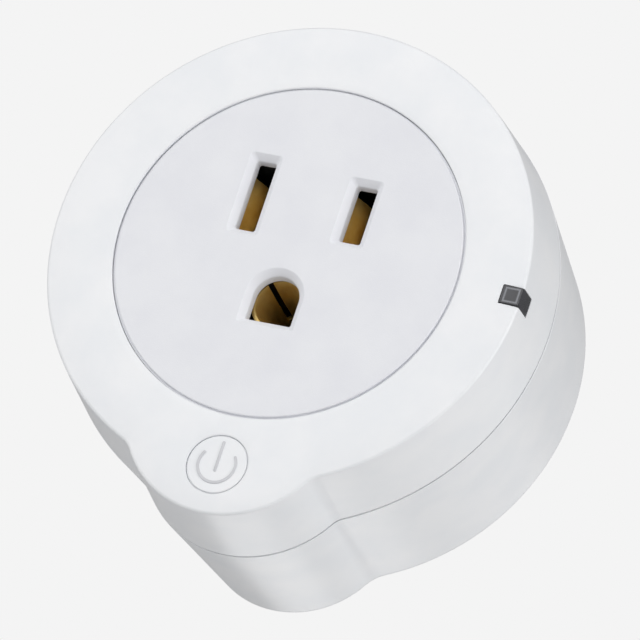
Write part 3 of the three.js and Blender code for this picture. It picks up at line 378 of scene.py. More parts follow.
pin_radius = 2.38
pin_tip = wall + 20.2
pin = turned([
    (1.2, 24.0), (1.2, shoulder[0]), (3.2, shoulder[0]), (3.4, shoulder[0] + 0.2),
    (3.4, shoulder[1] - 0.2), (3.2, shoulder[1]), (pin_radius, shoulder[1]),
    (pin_radius, wall), (pin_radius, pin_tip - pin_radius),
    *[(pin_radius * math.cos(a), pin_tip - pin_radius + pin_radius * math.sin(a))
      for a in [math.radians(angle) for angle in range(6, 90, 6)]],
], 0, -ground_drop, 72)
piece("ground_pin", pin, nickel)

# -------------------- blade retainer, screws and ground strap
# A grey nylon plate traps the blades' shoulders against the floor, held by two pan-head screws.
# A brass strap on the ground pin's riveted end carries the ground to the contact's tail.
def reach(node):
    """A node's low and high corners, in mm from the middle of the outlet's face."""
    low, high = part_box(node)
    return place.inverted() @ low, place.inverted() @ high


def recast(node, edge, segments=2):
    """A CAD node's own shape with its flat faces made whole and its sharp edges rounded."""
    bm = bmesh.new()
    bm.from_mesh(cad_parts[node].data)
    bmesh.ops.transform(bm, matrix=place.inverted(), verts=bm.verts)
    bmesh.ops.remove_doubles(bm, verts=bm.verts, dist=0.0005)
    bmesh.ops.dissolve_limit(bm, angle_limit=math.radians(1), verts=bm.verts, edges=bm.edges)
    return rounded(as_shape(bm), edge, segments, 40)


def recast_piece(name, edge, finish, body="case", segments=2):
    """A piece that keeps its CAD node's own shape."""
    piece(name, recast(name, edge, segments), finish, body)


def gather(shapes):
    """Separate solids of one piece as one mesh."""
    bm = bmesh.new()
    for shape in shapes:
        bm.from_mesh(shape.data)
        bpy.data.objects.remove(shape)
    return as_shape(bm)


def threaded(x, z, root, crest, start, end, pitch):
    """A screw's shank: a helical ridge that fades at the blunt tip."""
    steps = 24
    count = round(abs(end - start) / pitch * 6)
    rings = []
    for i in range(count + 1):
        travel = abs(end - start) * i / count
        fade = min(1, (count - i) / 6)
        points = []
        for k in range(steps):
            phase = (travel / pitch - k / steps) % 1
            ridge = max(0, 1 - abs(phase - 0.5) * 3.2)
            radius = (root + (crest - root) * ridge) * (0.5 + 0.5 * fade)
            angle = 2 * math.pi * k / steps
            points.append((x + radius * math.cos(angle), z + radius * math.sin(angle)))
        rings.append((start + (end - start) * i / count, points))
    return loft(rings)


def pan_head(x, z, seat, toward, head, root, crest, length, pitch=0.95):
    """A pan-head screw with a tapered cross recess. Its head is a radius and a height."""
    radius, height = head

    def at(rise):
        return seat - toward * rise

    shape = turned([
        (root, at(-0.5)), (root, at(0)), (radius - 0.06, at(0)), (radius, at(0.07)),
        (radius, at(0.4 * height)), (0.95 * radius, at(0.66 * height)), (0.82 * radius, at(0.86 * height)),
        (0.6 * radius, at(height))], x, z, 48)
    join(shape, threaded(x, z, root, crest, at(-0.25), at(-length), pitch))
    return cut(shape, *[loft([(at(height + 0.1), rectangle(x, z, across, along)),
                              (at(height - 0.65), rectangle(x, z, 0.5 * across, 0.5 * along))])
                        for across, along in ((0.3, 1.1), (1.1, 0.3))])


def screws(kind, places, seat, toward, *sizes):
    """A set of numbered pan-head screws."""
    for i, (x, z) in enumerate(places):
        piece(f"{kind}_{i + 1}", pan_head(x, z, seat, toward, *sizes), zinc)


def dressed(finish, node):
    """Gives its finish to a CAD node whose shape already serves."""
    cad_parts[node].data.materials.clear()
    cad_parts[node].data.materials.append(finish)


# Zinc plate: a cool bright grey with a faint yellow passivation that wanders over the head.
zinc = plated("zinc_plated_steel", ("b9bcc0", "b4b09c"), 0.3, grain=0.1, stretch=4, relief=0.001)
# Yellow brass, gone a little brown: it shines along the strip's rolling lines.
brass = plated("contact_brass", ("f5e0a0", "e6c67a"), 0.55, grain=0.16, relief=0.003)
# Grey glass-filled nylon: matte, with a faint cloud of fibres at the surface.
grey_nylon = moulded("grey_glass_nylon", ("696d73", "61656b"), 0.55, grain=0.25, relief=0.01, blotch=3.0,
                     ior=1.53)
recast_piece("blade_retainer", 0.25, grey_nylon, segments=3)
recast_piece("ground_strap", 0.1, brass)
retainer_seat = reach("retainer_screw_1")[0].y + 0.95
screws("retainer_screw", retainer_screws, retainer_seat, 1, (1.8, 0.95), 0.75, 1.05, 4.6)

# -------------------- insulating sheet
# Pressed cellulose fibre between the soldered side of the main board and the blade retainer.
# It is die cut, and its long fibres show as soft streaks.
fish_paper, tree, shader, at = surface("pressed_fibre")
strands = add(tree, "TexNoise", {"Scale": 1 / (0.5 * mm), "Detail": 6},
              {"Vector": add(tree, "Mapping", {"Scale": (0.15, 1, 1)}, {"Vector": at})})
skinned(tree, shader, shade(tree, strands, [(0.3, "34383d"), (0.7, "474c52")]),
        strands, (0.6, 0.85), 0.02)
dressed(fish_paper, "insulating_sheet")

# -------------------- main board
# Glass-epoxy laminate under green solder mask, screwed to two bosses in the rear shell.
# Every lead passes through it and is soldered on the back with a small bright fillet.
def laminate(name, mask, pour, gap_line, core):
    """Solder mask over copper: pours show as lighter blocks, vias as tinned dots, and the sawn edge
    shows bare laminate. The pours are 5 mm across."""
    made, tree, shader, at = surface(name)
    laid = add(tree, "Mapping", {"Rotation": (math.pi / 2, 0, 0)}, {"Vector": at})
    flat = {"Vector": laid}
    blocks = {"distance": "CHEBYCHEV", "Scale": 1 / (5 * mm), "Randomness": 0.8}
    pours = add(tree, "TexVoronoi", blocks, flat)
    next_pour = add(tree, "TexVoronoi", {**blocks, "feature": "F2"}, flat)
    margin = add(tree, "Math", {"operation": "SUBTRACT"},
                 {0: next_pour, 1: pours})
    copper = add(tree, "MapRange", {"From Min": 0.03, "From Max": 0.07}, {"Value": margin})
    tone = add(tree, "SeparateColor", {}, {"Color": pours.outputs["Color"]})
    field = add(tree, "Mix", {"data_type": "RGBA", 6: linear(gap_line)}, {
        0: copper,
        7: shade(tree, tone.outputs["Red"], [(0.3, mask), (0.7, pour)])})
    dots = add(tree, "TexVoronoi", {"Scale": 1 / (3.2 * mm)}, flat)
    via = add(tree, "MapRange", {"From Min": 0.1, "From Max": 0.12, "To Min": 1.0, "To Max": 0.0},
              {"Value": dots})
    tinned = add(tree, "Mix", {"data_type": "RGBA", 7: linear("b9b5a4")},
                 {0: via, 6: field.outputs[2]})
    facing = add(tree, "SeparateXYZ", {}, {"Vector": add(tree, "NewGeometry").outputs["Normal"]})
    level = add(tree, "Math", {"operation": "ABSOLUTE"}, {0: facing.outputs["Y"]})
    edge = add(tree, "MapRange", {"From Min": 0.5, "From Max": 0.6, "To Min": 1.0, "To Max": 0.0},
               {"Value": level})
    sawn = add(tree, "Mix", {"data_type": "RGBA", 7: linear(core)},
               {0: edge, 6: tinned.outputs[2]})
    skinned(tree, shader, sawn.outputs[2], edge, (0.28, 0.8), 0.03,
            copper)
    return made


green_board = laminate("green_glass_epoxy", "164a2b", "1d5c36", "0f3820", "b7b084")
dressed(green_board, "main_board")
board_front, board_back = reach("main_board")[0].y, reach("main_board")[1].y
film_low, film_high = reach("film_capacitor")
varistor_x, varistor_z = spot("varistor")
fuse_low, fuse_high = reach("fuse")
relay_x, _ = spot("relay_base")
choke_x, choke_z = spot("choke_core")
bulk_capacitors = [spot("bulk_capacitor_1"), spot("bulk_capacitor_2")]
output_x, output_z = spot("output_capacitor")
film_z = (film_low.z + film_high.z) / 2
joints = [(film_low.x + 1.5, film_z), (film_high.x - 1.5, film_z),
          (varistor_x - 2.5, varistor_z + 0.6), (varistor_x + 2.5, varistor_z - 0.6),
          (fuse_low.x + 0.95, varistor_z), (fuse_high.x - 0.95, varistor_z),
          *[(x, z + side * 1.75) for x, z in bulk_capacitors for side in (-1, 1)],
          (output_x, output_z - 1), (output_x, output_z + 1), (relay_x, -7.0),
          *[spot(f"header_pin_{i}") for i in (1, 2, 3, 4)]]
# Tin solder: a bright grey metal with the soft ripple it froze with.
solder = plated("tin_solder", ("c4c5c3", "b3b4b2"), 0.25, grain=0.3, stretch=1, relief=0.006)
fillets = stood(joints, [(0.85, board_back + 0.01), (0.8, board_back + 0.05), (0.58, board_back + 0.14),
                         (0.46, board_back + 0.29)], 24)
piece("solder_fillets", gather(fillets), solder)
board_seat = reach("board_screw_1")[0].y + 1.3
screws("board_screw", board_screws, board_seat, 1, (1.8, 1.3), 0.8, 1.1, 5.5)

# -------------------- capacitors, varistor and fuse
# The mains filter and the supply's store: a potted film box, a dipped varistor, a ceramic fuse with
# pressed nickel caps, and three cans in shrunk sleeves whose bare tops are scored to vent.
wire = 0.35


def leads(places, start):
    """Tinned wires from inside a component through the board."""
    return stood(places, [(wire, start), (wire, board_back + 0.2), (0.7 * wire, board_back + 0.3)], 16)


def ends_cover(name, body, band, near, far, axis, roughness):
    """A body colour with a band of another material past two places along an axis, in metres."""
    made, tree, shader, at = surface(name)
    along = add(tree, "SeparateXYZ", {}, {"Vector": at})
    speck = add(tree, "TexNoise", {"Scale": 1 / (0.5 * mm), "Detail": 4}, {"Vector": at})
    middle = add(tree, "Math", {"operation": "SUBTRACT", 1: (near + far) / 2}, {0: along.outputs[axis]})
    off = add(tree, "Math", {"operation": "ABSOLUTE"}, {0: middle})
    mask = add(tree, "MapRange", {"From Min": (far - near) / 2 - 0.02 * mm, "From Max": (far - near) / 2},
               {"Value": off})
    base = add(tree, "Mix", {"data_type": "RGBA"}, {
        0: mask,
        6: shade(tree, speck, [(0.35, body[0]), (0.65, body[1])]),
        7: shade(tree, speck, [(0.35, band[0]), (0.65, band[1])])})
    skinned(tree, shader, base.outputs[2], speck, (roughness - 0.06, roughness + 0.08), 0.006)
    return made, tree, shader, mask


def depth(y):
    """A depth behind the outlet's face in mm, as the frame's y in metres."""
    return (place @ Vector((0, y, 0))).y


# Yellow polyester box, closed behind with a paler epoxy fill.
film_front = film_low.y
film_back = board_front - gap
film = rounded(block((film_low.x, film_high.x), (film_front, film_back), (film_low.z, film_high.z)), 0.45, 3)
join(film, *leads(joints[0:2], board_front - 1.2))
film_yellow = ends_cover("film_box_polyester", ("d2a81f", "c79c18"), ("cfc08a", "c4b47c"),
                         depth(film_front - 30), depth(board_front - 0.75), "Y", 0.4)[0]
piece("film_capacitor", film, film_yellow)

# Blue dipped epoxy: glossy with an orange-peel skin, thinner where it runs down the leads.
varistor_radius = 4.0
varistor_depth = reach("varistor")[0].y + varistor_radius
pill = turned([(0.6, -1.7), (2.6, -1.62), (3.5, -1.3), (3.9, -0.7), (4.0, 0), (3.9, 0.7), (3.5, 1.3),
               (2.6, 1.62), (0.6, 1.7)], 0, 0, 64)
pill.data.transform(Matrix.Translation((varistor_x, varistor_depth, varistor_z))
                    @ Matrix.Rotation(math.pi / 2, 4, "X"))
join(pill, *leads(joints[2:4], varistor_depth + 2.4),
     *stood(joints[2:4], [(0.9, varistor_depth + 2.2), (0.75, varistor_depth + 3.6),
                          (0.5, varistor_depth + 4.2)], 24))
blue_epoxy = moulded("dipped_blue_epoxy", ("1f4f9c", "1a4489"), 0.24, grain=0.6, relief=0.03, blotch=2.0,
                     ior=1.55)
piece("varistor", pill, blue_epoxy)

# Glazed ceramic barrel between two pressed nickel caps.
fuse_radius = 1.8
fuse_depth = fuse_low.y + fuse_radius
barrel = turned([
    (1.2, 0), (1.7, 0.05), (fuse_radius, 0.2), (fuse_radius, 1.8), (1.72, 1.9), (1.55, 1.9), (1.55, 6.7),
    (1.72, 6.7), (fuse_radius, 6.8), (fuse_radius, 8.4), (1.7, 8.55), (1.2, 8.6)], 0, 0, 48)
barrel.data.transform(Matrix.Translation((fuse_low.x, fuse_depth, varistor_z))
                      @ Matrix.Rotation(-math.pi / 2, 4, "Z"))
join(barrel, *leads(joints[4:6], fuse_depth + 1))
fuse_finish, tree, shader, mask = ends_cover(
    "glazed_ceramic_and_nickel", ("ded9c8", "d4cebb"), ("bdbab2", "b0ada5"),
    (fuse_low.x + 1.9) * mm, (fuse_high.x - 1.9) * mm, "X", 0.28)
tree.links.new(mask.outputs["Result"], shader.inputs["Metallic"])
piece("fuse", barrel, fuse_finish)

# Black sleeve, shrunk over the can: satin, with fine creases all over.
sleeve, tree, shader, at = surface("shrunk_black_sleeve")
skin = add(tree, "TexNoise", {"Scale": 1 / (0.8 * mm), "Detail": 4}, {"Vector": at})
skinned(tree, shader, shade(tree, skin, [(0.3, "17171a"), (0.7, "222226")]), skin, (0.22, 0.38), 0.02)
# Bare aluminium: a soft bright grey, drawn from sheet.
aluminium = plated("drawn_aluminium", ("cdced0", "c3c4c6"), 0.3, grain=0.1, along="X", relief=0.001)
for name, x, z, radius, spread in (("bulk_capacitor_1", *bulk_capacitors[0], 4.0, 1.75),
                                   ("bulk_capacitor_2", *bulk_capacitors[1], 4.0, 1.75),
                                   ("output_capacitor", output_x, output_z, 2.5, 1.0)):
    top = reach(name)[0].y
    seat = board_front - gap
    can = turned([
        (0.75 * radius, top + 0.1), (0.75 * radius, top), (radius - 0.3, top), (radius - 0.1, top + 0.08),
        (radius, top + 0.3), (radius, seat - 2.4), (radius - 0.15, seat - 2.2), (radius - 0.3, seat - 2.0),
        (radius - 0.15, seat - 1.8), (radius, seat - 1.6), (radius, seat - 0.2), (radius - 0.2, seat)],
        x, z, 64)
    join(can, *leads([(x, z - spread), (x, z + spread)], seat - 1))
    piece(name, can, sleeve)
    lid = turned([(0.75 * radius - 0.05, top + 0.09), (0.75 * radius - 0.1, top + 0.05),
                  (0.1 * radius, top + 0.05)], x, z, 48)
    cut(lid, *[block((x - dx, x + dx), (top, top + 0.075), (z - dz, z + dz))
               for dx, dz in ((0.6 * radius, 0.08), (0.08, 0.6 * radius))])
    piece(f"{name}_lid", lid, aluminium)

# -------------------- choke and chips
# A drum of sintered ferrite wound with lacquered wire, then the bridge, the converter and the regulator:
# black moulded epoxy bodies on tinned legs.
def wound(node, inner, wire_width):
    """A coil that shows each turn of its outer layer."""
    low, high = reach(node)
    x, z, outer = (low.x + high.x) / 2, (low.z + high.z) / 2, (high.x - low.x) / 2
    turns = round((high.y - low.y) / wire_width)
    pitch = (high.y - low.y) / turns
    rings = []
    for i in range(turns * 4 + 1):
        bulge = math.sin(math.pi * (i % 4) / 4) if i % 4 else 0
        rings.append((low.y + pitch * i / 4, outer - 0.5 * wire_width * (1 - bulge)))
    rings += [(high.y, inner), (low.y, inner)]
    return loft([(y, arc(x, z, radius, 0, 2 * math.pi, 72)) for y, radius in rings], closed=True)


# Polyester-lacquered copper: dark orange wire under a clear glossy coat.
magnet_wire = plated("lacquered_copper_wire", ("b5602a", "a04f20"), 0.3, grain=0.2, stretch=1, relief=0.002)
magnet_wire.node_tree.nodes["Principled BSDF"].inputs["Coat Weight"].default_value = 0.6
# Ferrite: charcoal grey and dull, pitted by sintering.
ferrite = moulded("sintered_ferrite", ("3a3a3d", "303033"), 0.62, grain=0.18, relief=0.02, blotch=1.5,
                  ior=2.0)
drum_low, drum_high = reach("choke_core")
flange_radius, flange_width, waist_radius = 3.3, 1.0, 1.4
half_drum = [(flange_radius - 0.15, 0), (flange_radius, 0.15), (flange_radius, flange_width - 0.1),
             (flange_radius - 0.1, flange_width), (waist_radius, flange_width)]
drum = turned([(r, drum_low.y + rise) for r, rise in half_drum]
              + [(r, drum_high.y - rise) for r, rise in reversed(half_drum)], choke_x, choke_z, 64)
piece("choke_core", drum, ferrite)
piece("choke_winding", wound("choke_winding", 1.7, 0.35), magnet_wire)

# Moulded epoxy: near black, matte from the mould's eroded finish.
chip_epoxy = moulded("black_moulded_epoxy", ("1c1c1f", "242428"), 0.5, grain=0.12, relief=0.008, blotch=1.0,
                     ior=1.55)
tin = plated("tinned_leads", ("c6c6c2", "bbbbb6"), 0.28, grain=0.1, relief=0.001)
leg_room = 0.35
leg_half = 0.2
for name, legs, pitch in (("bridge_rectifier", 2, 2.54), ("converter_chip", 4, 1.27), ("regulator", 3, 1.5)):
    low, high = reach(name)
    x0, x1 = low.x + leg_room, high.x - leg_room
    chip = rounded(block((x0, x1), (low.y, high.y - 0.15), (low.z + leg_room, high.z - leg_room)), 0.14)
    cut(chip, turned([(0.28, low.y - 0.1), (0.28, low.y + 0.08)], x0 + 0.65, high.z - 1.0, 24))
    piece(name, chip, chip_epoxy)
    middle = (low.y + high.y) / 2
    feet = []
    for i in range(legs):
        x = (x0 + x1) / 2 + (i - (legs - 1) / 2) * pitch
        strip = (x - leg_half, x + leg_half)
        for z, out in ((low.z, -1), (high.z, 1)):
            knee = z - out * 0.06
            ankle = z - out * 0.2
            feet += [block(strip, (middle - 0.08, middle + 0.08), sorted((z - out * 0.5, knee))),
                     block(strip, (middle - 0.08, high.y), sorted((ankle, knee))),
                     block(strip, (high.y - 0.13, high.y), sorted((ankle, z + out * 0.2)))]
    piece(f"{name}_legs", gather(feet), tin)

# -------------------- relay
# A blue polyester cover over an electromagnet: a copper winding on a nylon bobbin pulls a hinged iron
# armature, whose leaf carries the moving silver contact towards the fixed one.
# Glossy blue polyester with a slight swirl from the mould.
relay_blue = moulded("blue_relay_polyester", ("1f4f9e", "1a4690"), 0.3, grain=0.3, relief=0.004, blotch=4.0,
                     ior=1.56)
# Black glass-filled polyester: dull, with a fine mould grain.
black_polyester = moulded("black_glass_polyester", ("1d1d20", "262629"), 0.48, grain=0.3, relief=0.008,
                          blotch=2.0, ior=1.56)
# Natural nylon: ivory, waxy, a little uneven where it drew moisture.
ivory_nylon = moulded("natural_nylon", ("e6e1d2", "dcd6c4"), 0.42, grain=0.3, relief=0.004, blotch=2.0,
                      ior=1.53)
# Soft iron under nickel: grey with a satin barrel-plated skin.
iron = plated("plated_soft_iron", ("aeaca6", "a3a19a"), 0.34, grain=0.12, stretch=6, relief=0.002)
# Rolled copper alloy with its silver contacts: red-brown strip, brighter along the grain.
leaf_copper = plated("rolled_copper_alloy", ("bd7444", "ab6438"), 0.32, grain=0.1, along="Z", relief=0.001)
recast_piece("relay_cover", 0.4, relay_blue, segments=3)
recast_piece("relay_base", 0.2, black_polyester)
recast_piece("relay_bobbin", 0.12, ivory_nylon)
piece("relay_coil", wound("relay_coil", 2.6, 0.24), magnet_wire)
recast_piece("relay_core", 0.12, iron)
recast_piece("relay_yoke", 0.1, iron)
recast_piece("relay_armature", 0.12, iron, "armature")
recast_piece("relay_spring", 0.04, leaf_copper, "armature")
recast_piece("relay_fixed_contact", 0.08, leaf_copper)

# -------------------- header, control board and radio
# Four gold-plated pins join the main board to the control board, which carries the radio module:
# a small blue board under a drawn tin shield with vent holes.
gold = plated("gold_plated_pins", ("e3b54a", "d5a53c"), 0.25, grain=0.1, relief=0.001)
for i in (1, 2, 3, 4):
    recast_piece(f"header_pin_{i}", 0.14, gold)
strip_low, strip_high = reach("header_strip")
strip = recast("header_strip", 0.08)
notch = 0.45
cut(strip, *[loft([(y, [(x - notch, z), (x, z - notch), (x + notch, z), (x, z + notch)])
                   for y in (strip_low.y - 1, strip_high.y + 1)])
             for x in (strip_low.x, strip_high.x)
             for z in [strip_low.z + (i + 1) * (strip_high.z - strip_low.z) / 4 for i in range(3)]])
piece("header_strip", strip, black_polyester)
dressed(green_board, "control_board")
dressed(laminate("blue_glass_epoxy", "16347a", "1c3f8c", "0f2760", "b7b084"), "radio_board")
can_low, can_high = reach("shield_can")
shield = recast("shield_can", 0.28, 3)
vent_radius, vent_pitch = 0.4, 2
vents = [(can_low.x + 2.5 + vent_pitch * i, can_low.z + 2 + vent_pitch * k)
         for i in range(4) for k in range(4)]
cut(shield, *stood(vents, [(vent_radius, can_high.y - 1), (vent_radius, can_high.y + 1)], 20))
piece("shield_can", shield, tin)

# -------------------- switch and status light
# A snap switch under the button: a nylon plunger over a stainless dome in a black body.
# The light is a phosphor under clear resin in a white reflector, at the foot of the light pipe.
recast_piece("switch_body", 0.25, black_polyester, segments=3)
recast_piece("switch_plunger", 0.15, ivory_nylon, "plunger", segments=3)
steel = plated("stainless_spring_steel", ("bfc0c2", "b3b4b6"), 0.22, grain=0.08, along="X", relief=0.001)
recast_piece("switch_dome", 0.03, steel)
lamp_low, lamp_high = reach("status_led")
lamp_x, lamp_z = spot("status_led")
lamp_front = lamp_low.y
lamp = block((lamp_low.x, lamp_high.x), (lamp_front, lamp_high.y), (lamp_low.z, lamp_high.z))
cup = turned([(0.46, lamp_front - 0.1), (0.44, lamp_front), (0.36, lamp_front + 0.12)], lamp_x, lamp_z, 32)
cut(rounded(lamp, 0.08), cup)
phosphor, tree, shader, at = surface("phosphor_in_white_resin")
centre = place @ Vector((lamp_x, lamp_front, lamp_z))
from_middle = add(tree, "VectorMath", {"operation": "DISTANCE", 1: centre}, {0: at})
grit = add(tree, "TexNoise", {"Scale": 1 / (0.08 * mm), "Detail": 3}, {"Vector": at})
powder = add(tree, "Math", {"operation": "MULTIPLY_ADD", 1: 0.0001, 2: 0.0}, {0: grit})
spread = add(tree, "Math", {"operation": "ADD"}, {0: from_middle.outputs["Value"], 1: powder})
reach_out = add(tree, "MapRange", {"From Min": 0.0, "From Max": 0.001}, {"Value": spread})
skinned(tree, shader, shade(tree, reach_out, [(0.38, "f0dc6e"), (0.5, "f2f0e6")]),
        grit, (0.2, 0.4))
piece("status_led", lamp, phosphor)

# -------------------- outlet contacts
# Folded brass clips pinch a plug's blades and a split brass tube grips its ground pin.
# They are stamped from strip, so the grain runs down their depth, and the brass has gone a little brown.
contact_front = 2.6
contact_wall = 0.5


def flanks(path, half):
    """Points half a width to the left and the right of a path, and the path's heading at each."""
    headings = [math.atan2(after[1] - before[1], after[0] - before[0])
                for before, after in zip(path[:1] + path[:-1], path[1:] + path[-1:])]
    left, right = [[(x - side * math.sin(h), y + side * math.cos(h)) for (x, y), h in zip(path, headings)]
                   for side in (half, -half)]
    return left, right, headings


def bent_strip(path, thickness, zs):
    """A strip folded in the plan view, through (x, y) points, with its height along z."""
    left, right, _ = flanks(path, thickness / 2)
    shape = loft([(z, left + right[::-1]) for z in zs])
    shape.data.transform(Matrix(((1, 0, 0, 0), (0, 0, 1, 0), (0, 1, 0, 0), (0, 0, 0, 1))))
    shape.data.flip_normals()
    return shape


def eased(points, steps=6):
    """A smooth run of points through a few given ones."""
    run = []
    for i in range(len(points) - 1):
        a, b = points[max(i - 1, 0)], points[i]
        c, d = points[i + 1], points[min(i + 2, len(points) - 1)]
        for k in range(steps):
            t = k / steps
            run.append(tuple(0.5 * (2 * q + (r - p) * t + (2 * p - 5 * q + 4 * r - s) * t * t
                                    + (3 * q - p - 3 * r + s) * t ** 3) for p, q, r, s in zip(a, b, c, d)))
    return run + [points[-1]]


for name, x in (("neutral_contact", -blade_pitch / 2), ("line_contact", blade_pitch / 2)):
    leaf = eased([(1.85, contact_front), (1.6, 3.2), (0.78, 5.6), (0.95, 8.4), (1.35, 11.0), (1.35, 18.3)])
    foot = [(1.25, 18.8), (0.8, 19.0)]
    half = leaf + foot
    clip = bent_strip([(x - dx, y) for dx, y in half] + [(x + dx, y) for dx, y in reversed(half)],
                      contact_wall, (outlet_drop - 4.0, outlet_drop + 3))
    join(clip, block((x - 0.5, x + 0.5), (18.9, 23.4), (outlet_drop + 1.4, outlet_drop + 3)))
    piece(name, rounded(clip, 0.08, 2, 50), brass)

tube_radius = 2.6
tube_mouth = 2.92
tube_waist = 2.2
bore = eased([(tube_mouth, contact_front), (2.7, 3.5), (tube_waist, 6.4), (2.35, 9.0),
              (tube_radius, 13.0)], 4)
tube = loft([(y, arc(0, -ground_drop, r, 0, 2 * math.pi, 96)) for r, y in bore]
            + [(y, arc(0, -ground_drop, r + 0.42, 0, 2 * math.pi, 96)) for r, y in bore[::-1]], closed=True)
slits = []
for turn in (2.25, 2.25 + math.pi):
    slit = block((0, 4), (contact_front - 1, contact_front + 8.5), (-0.32, 0.32))
    slit.data.transform(Matrix.Translation((0, 0, -ground_drop)) @ Matrix.Rotation(-turn, 4, "Y"))
    slits.append(slit)
cut(tube, *slits)
tail = -ground_drop - tube_radius - contact_wall
join(tube, block((-1.5, 1.5), (11.5, 25.1), (tail - gap, tail + contact_wall)))
piece("ground_contact", rounded(tube, 0.07, 2, 50), brass)

# The block that holds them: black glass-filled polyester, bored and pocketed for each contact.
recast_piece("socket_block", 0.3, black_polyester, segments=3)

# -------------------- outlet face
# The disc that a plug seats on: moulded with a matte spark-eroded grain, set flush in the ring.
# Each opening has a shallow bevel, and a step round the rim closes the groove behind it.
disc_radius = 20.55
disc_thickness = 2.0
bevel_width = 0.75
bevel_depth = 0.75


def slot_outline(x, half_width, half_height):
    """A slot with small corners, grown by a margin."""
    def at(margin):
        r = 0.3 + margin / 4
        w, h = half_width + margin, half_height + margin
        quarter = math.pi / 2
        turns = [(1, -1, -quarter), (1, 1, 0), (-1, 1, quarter), (-1, -1, 2 * quarter)]
        return [p for sx, sz, a in turns for p in arc(
            x + sx * (w - r), outlet_drop + sz * (h - r), r, a, a + quarter, 6, True)]
    return at


def ground_outline(margin):
    """The ground hole: a round top on a flat floor, grown by a margin."""
    r, corner = 2.78 + margin, 0.25
    floor = -ground_drop - 3.1 - margin
    return (arc(0, -ground_drop, r, 0, math.pi, 40, True)
            + arc(-r + corner, floor + corner, corner, math.pi, 1.5 * math.pi, 5, True)
            + arc(r - corner, floor + corner, corner, 1.5 * math.pi, 2 * math.pi, 5, True))


def bevelled(outline_at, back):
    """The cutter for an opening: eased at the face, a straight bevel, then a straight passage."""
    return loft([(y, outline_at(m)) for m, y in (
        (bevel_width + 0.09, -1), (bevel_width + 0.09, 0), (bevel_width + 0.02, 0.015),
        (bevel_width - 0.06, 0.07), (0.12, bevel_depth - 0.09), (0.05, bevel_depth - 0.01),
        (0.01, bevel_depth + 0.08), (0.0, bevel_depth + 0.18), (0.0, back))])


flange = (2.3, 3.5)
disc = turned([
    (disc_radius - 0.16, 0), (disc_radius - 0.06, 0.02), (disc_radius - 0.01, 0.07), (disc_radius, 0.16),
    (disc_radius, 0.34), (disc_radius + 0.24, 0.34), (disc_radius + 0.22, flange[0]),
    (22.0, flange[0]), (22.0, flange[1]), (19.2, flange[1]), (19.2, disc_thickness),
], 0, 0, 240)
button_z = -27.0
through = 4
cut(disc, bevelled(slot_outline(-blade_pitch / 2, 1.2, 4.35), through),
    bevelled(slot_outline(blade_pitch / 2, 1.3, 3.55), through), bevelled(ground_outline, through),
    turned([(5.8, disc_thickness), (5.8, through)], 0, button_z, 64),
    *stood(case_screws, [(2.6, disc_thickness), (2.6, through)], 40))
# Matte grained ABS: it scatters the light, so the disc reads a shade greyer than the satin ring.
face_abs = moulded("face_matte_abs", ("ecedf1", "e8e9ee"), 0.62, grain=0.16, relief=0.012, gloss_spread=0.08)
piece("outlet_disc", disc, face_abs, node="outlet_face")

# -------------------- power button
# A flanged cap in the case's own ABS that slides in the ring and presses the switch behind it.
# A raised power symbol stands on its face.
button_radius = 3.54
collar, collar_depth = 3.63, 0.22
cap = turned([
    (button_radius - 0.14, 0), (button_radius - 0.05, 0.02), (button_radius - 0.01, 0.06),
    (button_radius, 0.14), (button_radius, collar_depth), (collar, collar_depth), (collar, 2.3),
    (4.4, 2.3), (4.4, 3.2), (1.6, 3.2), (1.6, 4.4)], 0, button_z, 96)
icon_radius = 2.25
line = 0.18


def stroke(centres, half):
    """A raised line with round ends and a crowned top, along points in the front view."""
    def ring(grow, depth):
        left, right, headings = flanks(centres, grow)
        tip = arc(*centres[-1], grow, headings[-1] + math.pi / 2, headings[-1] - math.pi / 2, 8)[1:]
        tail = arc(*centres[0], grow, headings[0] + 1.5 * math.pi, headings[0] + math.pi / 2, 8)[1:]
        return depth, tail + left + tip + right[::-1]
    return loft([ring(0.6 * half, -0.1), ring(0.9 * half, -0.08), ring(half, -0.03), ring(half, 0.3)])


ring_gap = 1.0
sweep = [(icon_radius * math.cos(a), button_z + icon_radius * math.sin(a))
         for a in [math.pi / 2 + ring_gap + (2 * math.pi - 2 * ring_gap) * i / 40 for i in range(41)]]
bar = [(0, button_z + z) for z in (2.75, 1.6, 0.4, -0.75)]
piece("power_button", cap, case_abs, "button")
# The bead is coloured pale grey, so the symbol reads as a soft line on the white cap.
pale_grey_bead = moulded("pale_grey_symbol", ("d0d1d5", "cbccd0"), 0.4, grain=0.3, relief=0.002, blotch=1.0)
piece("power_symbol", gather([stroke(sweep, line), stroke(bar, line)]), pale_grey_bead, "button")

# -------------------- light window
# A smoked acrylic corner piece flush with the ring and the side, with a light pipe behind it.
# Its polished face shows a lighter square where the pipe's end comes up behind the smoke.
window_x = 26.25
window_z = (-1.13, 1.12)
window_wrap = 3.05
ring_edge = 0.38
edge_turn = math.radians(82)
crown = 0.28
front_rise = crown + ring_edge * math.sin(edge_turn)
crown_reach = 5.5
crown_start = rim_inset + ring_edge * (1 - math.cos(edge_turn))


def crown_depth(inset):
    """The ring's gentle fall from its flat land to its rounded edge."""
    return crown * (max(crown_reach - inset, 0) / (crown_reach - crown_start)) ** 2


rim_rings = [(front_rise - ring_edge * math.sin(a), rim_inset + ring_edge * (1 - math.cos(a)))
             for a in [math.radians(angle) for angle in range(0, 83, 8)] + [edge_turn]]
crown_rings = [(crown_depth(inset), inset) for inset in (1.9, 2.6, 3.4, 4.4, 5.5)]


def window_body(margin):
    """The window's corner: square in the front view, wrapped over the ring's rounded edge."""
    return block((window_x - margin, 34), (-2, window_wrap + margin),
                 (window_z[0] - margin, window_z[1] + margin))


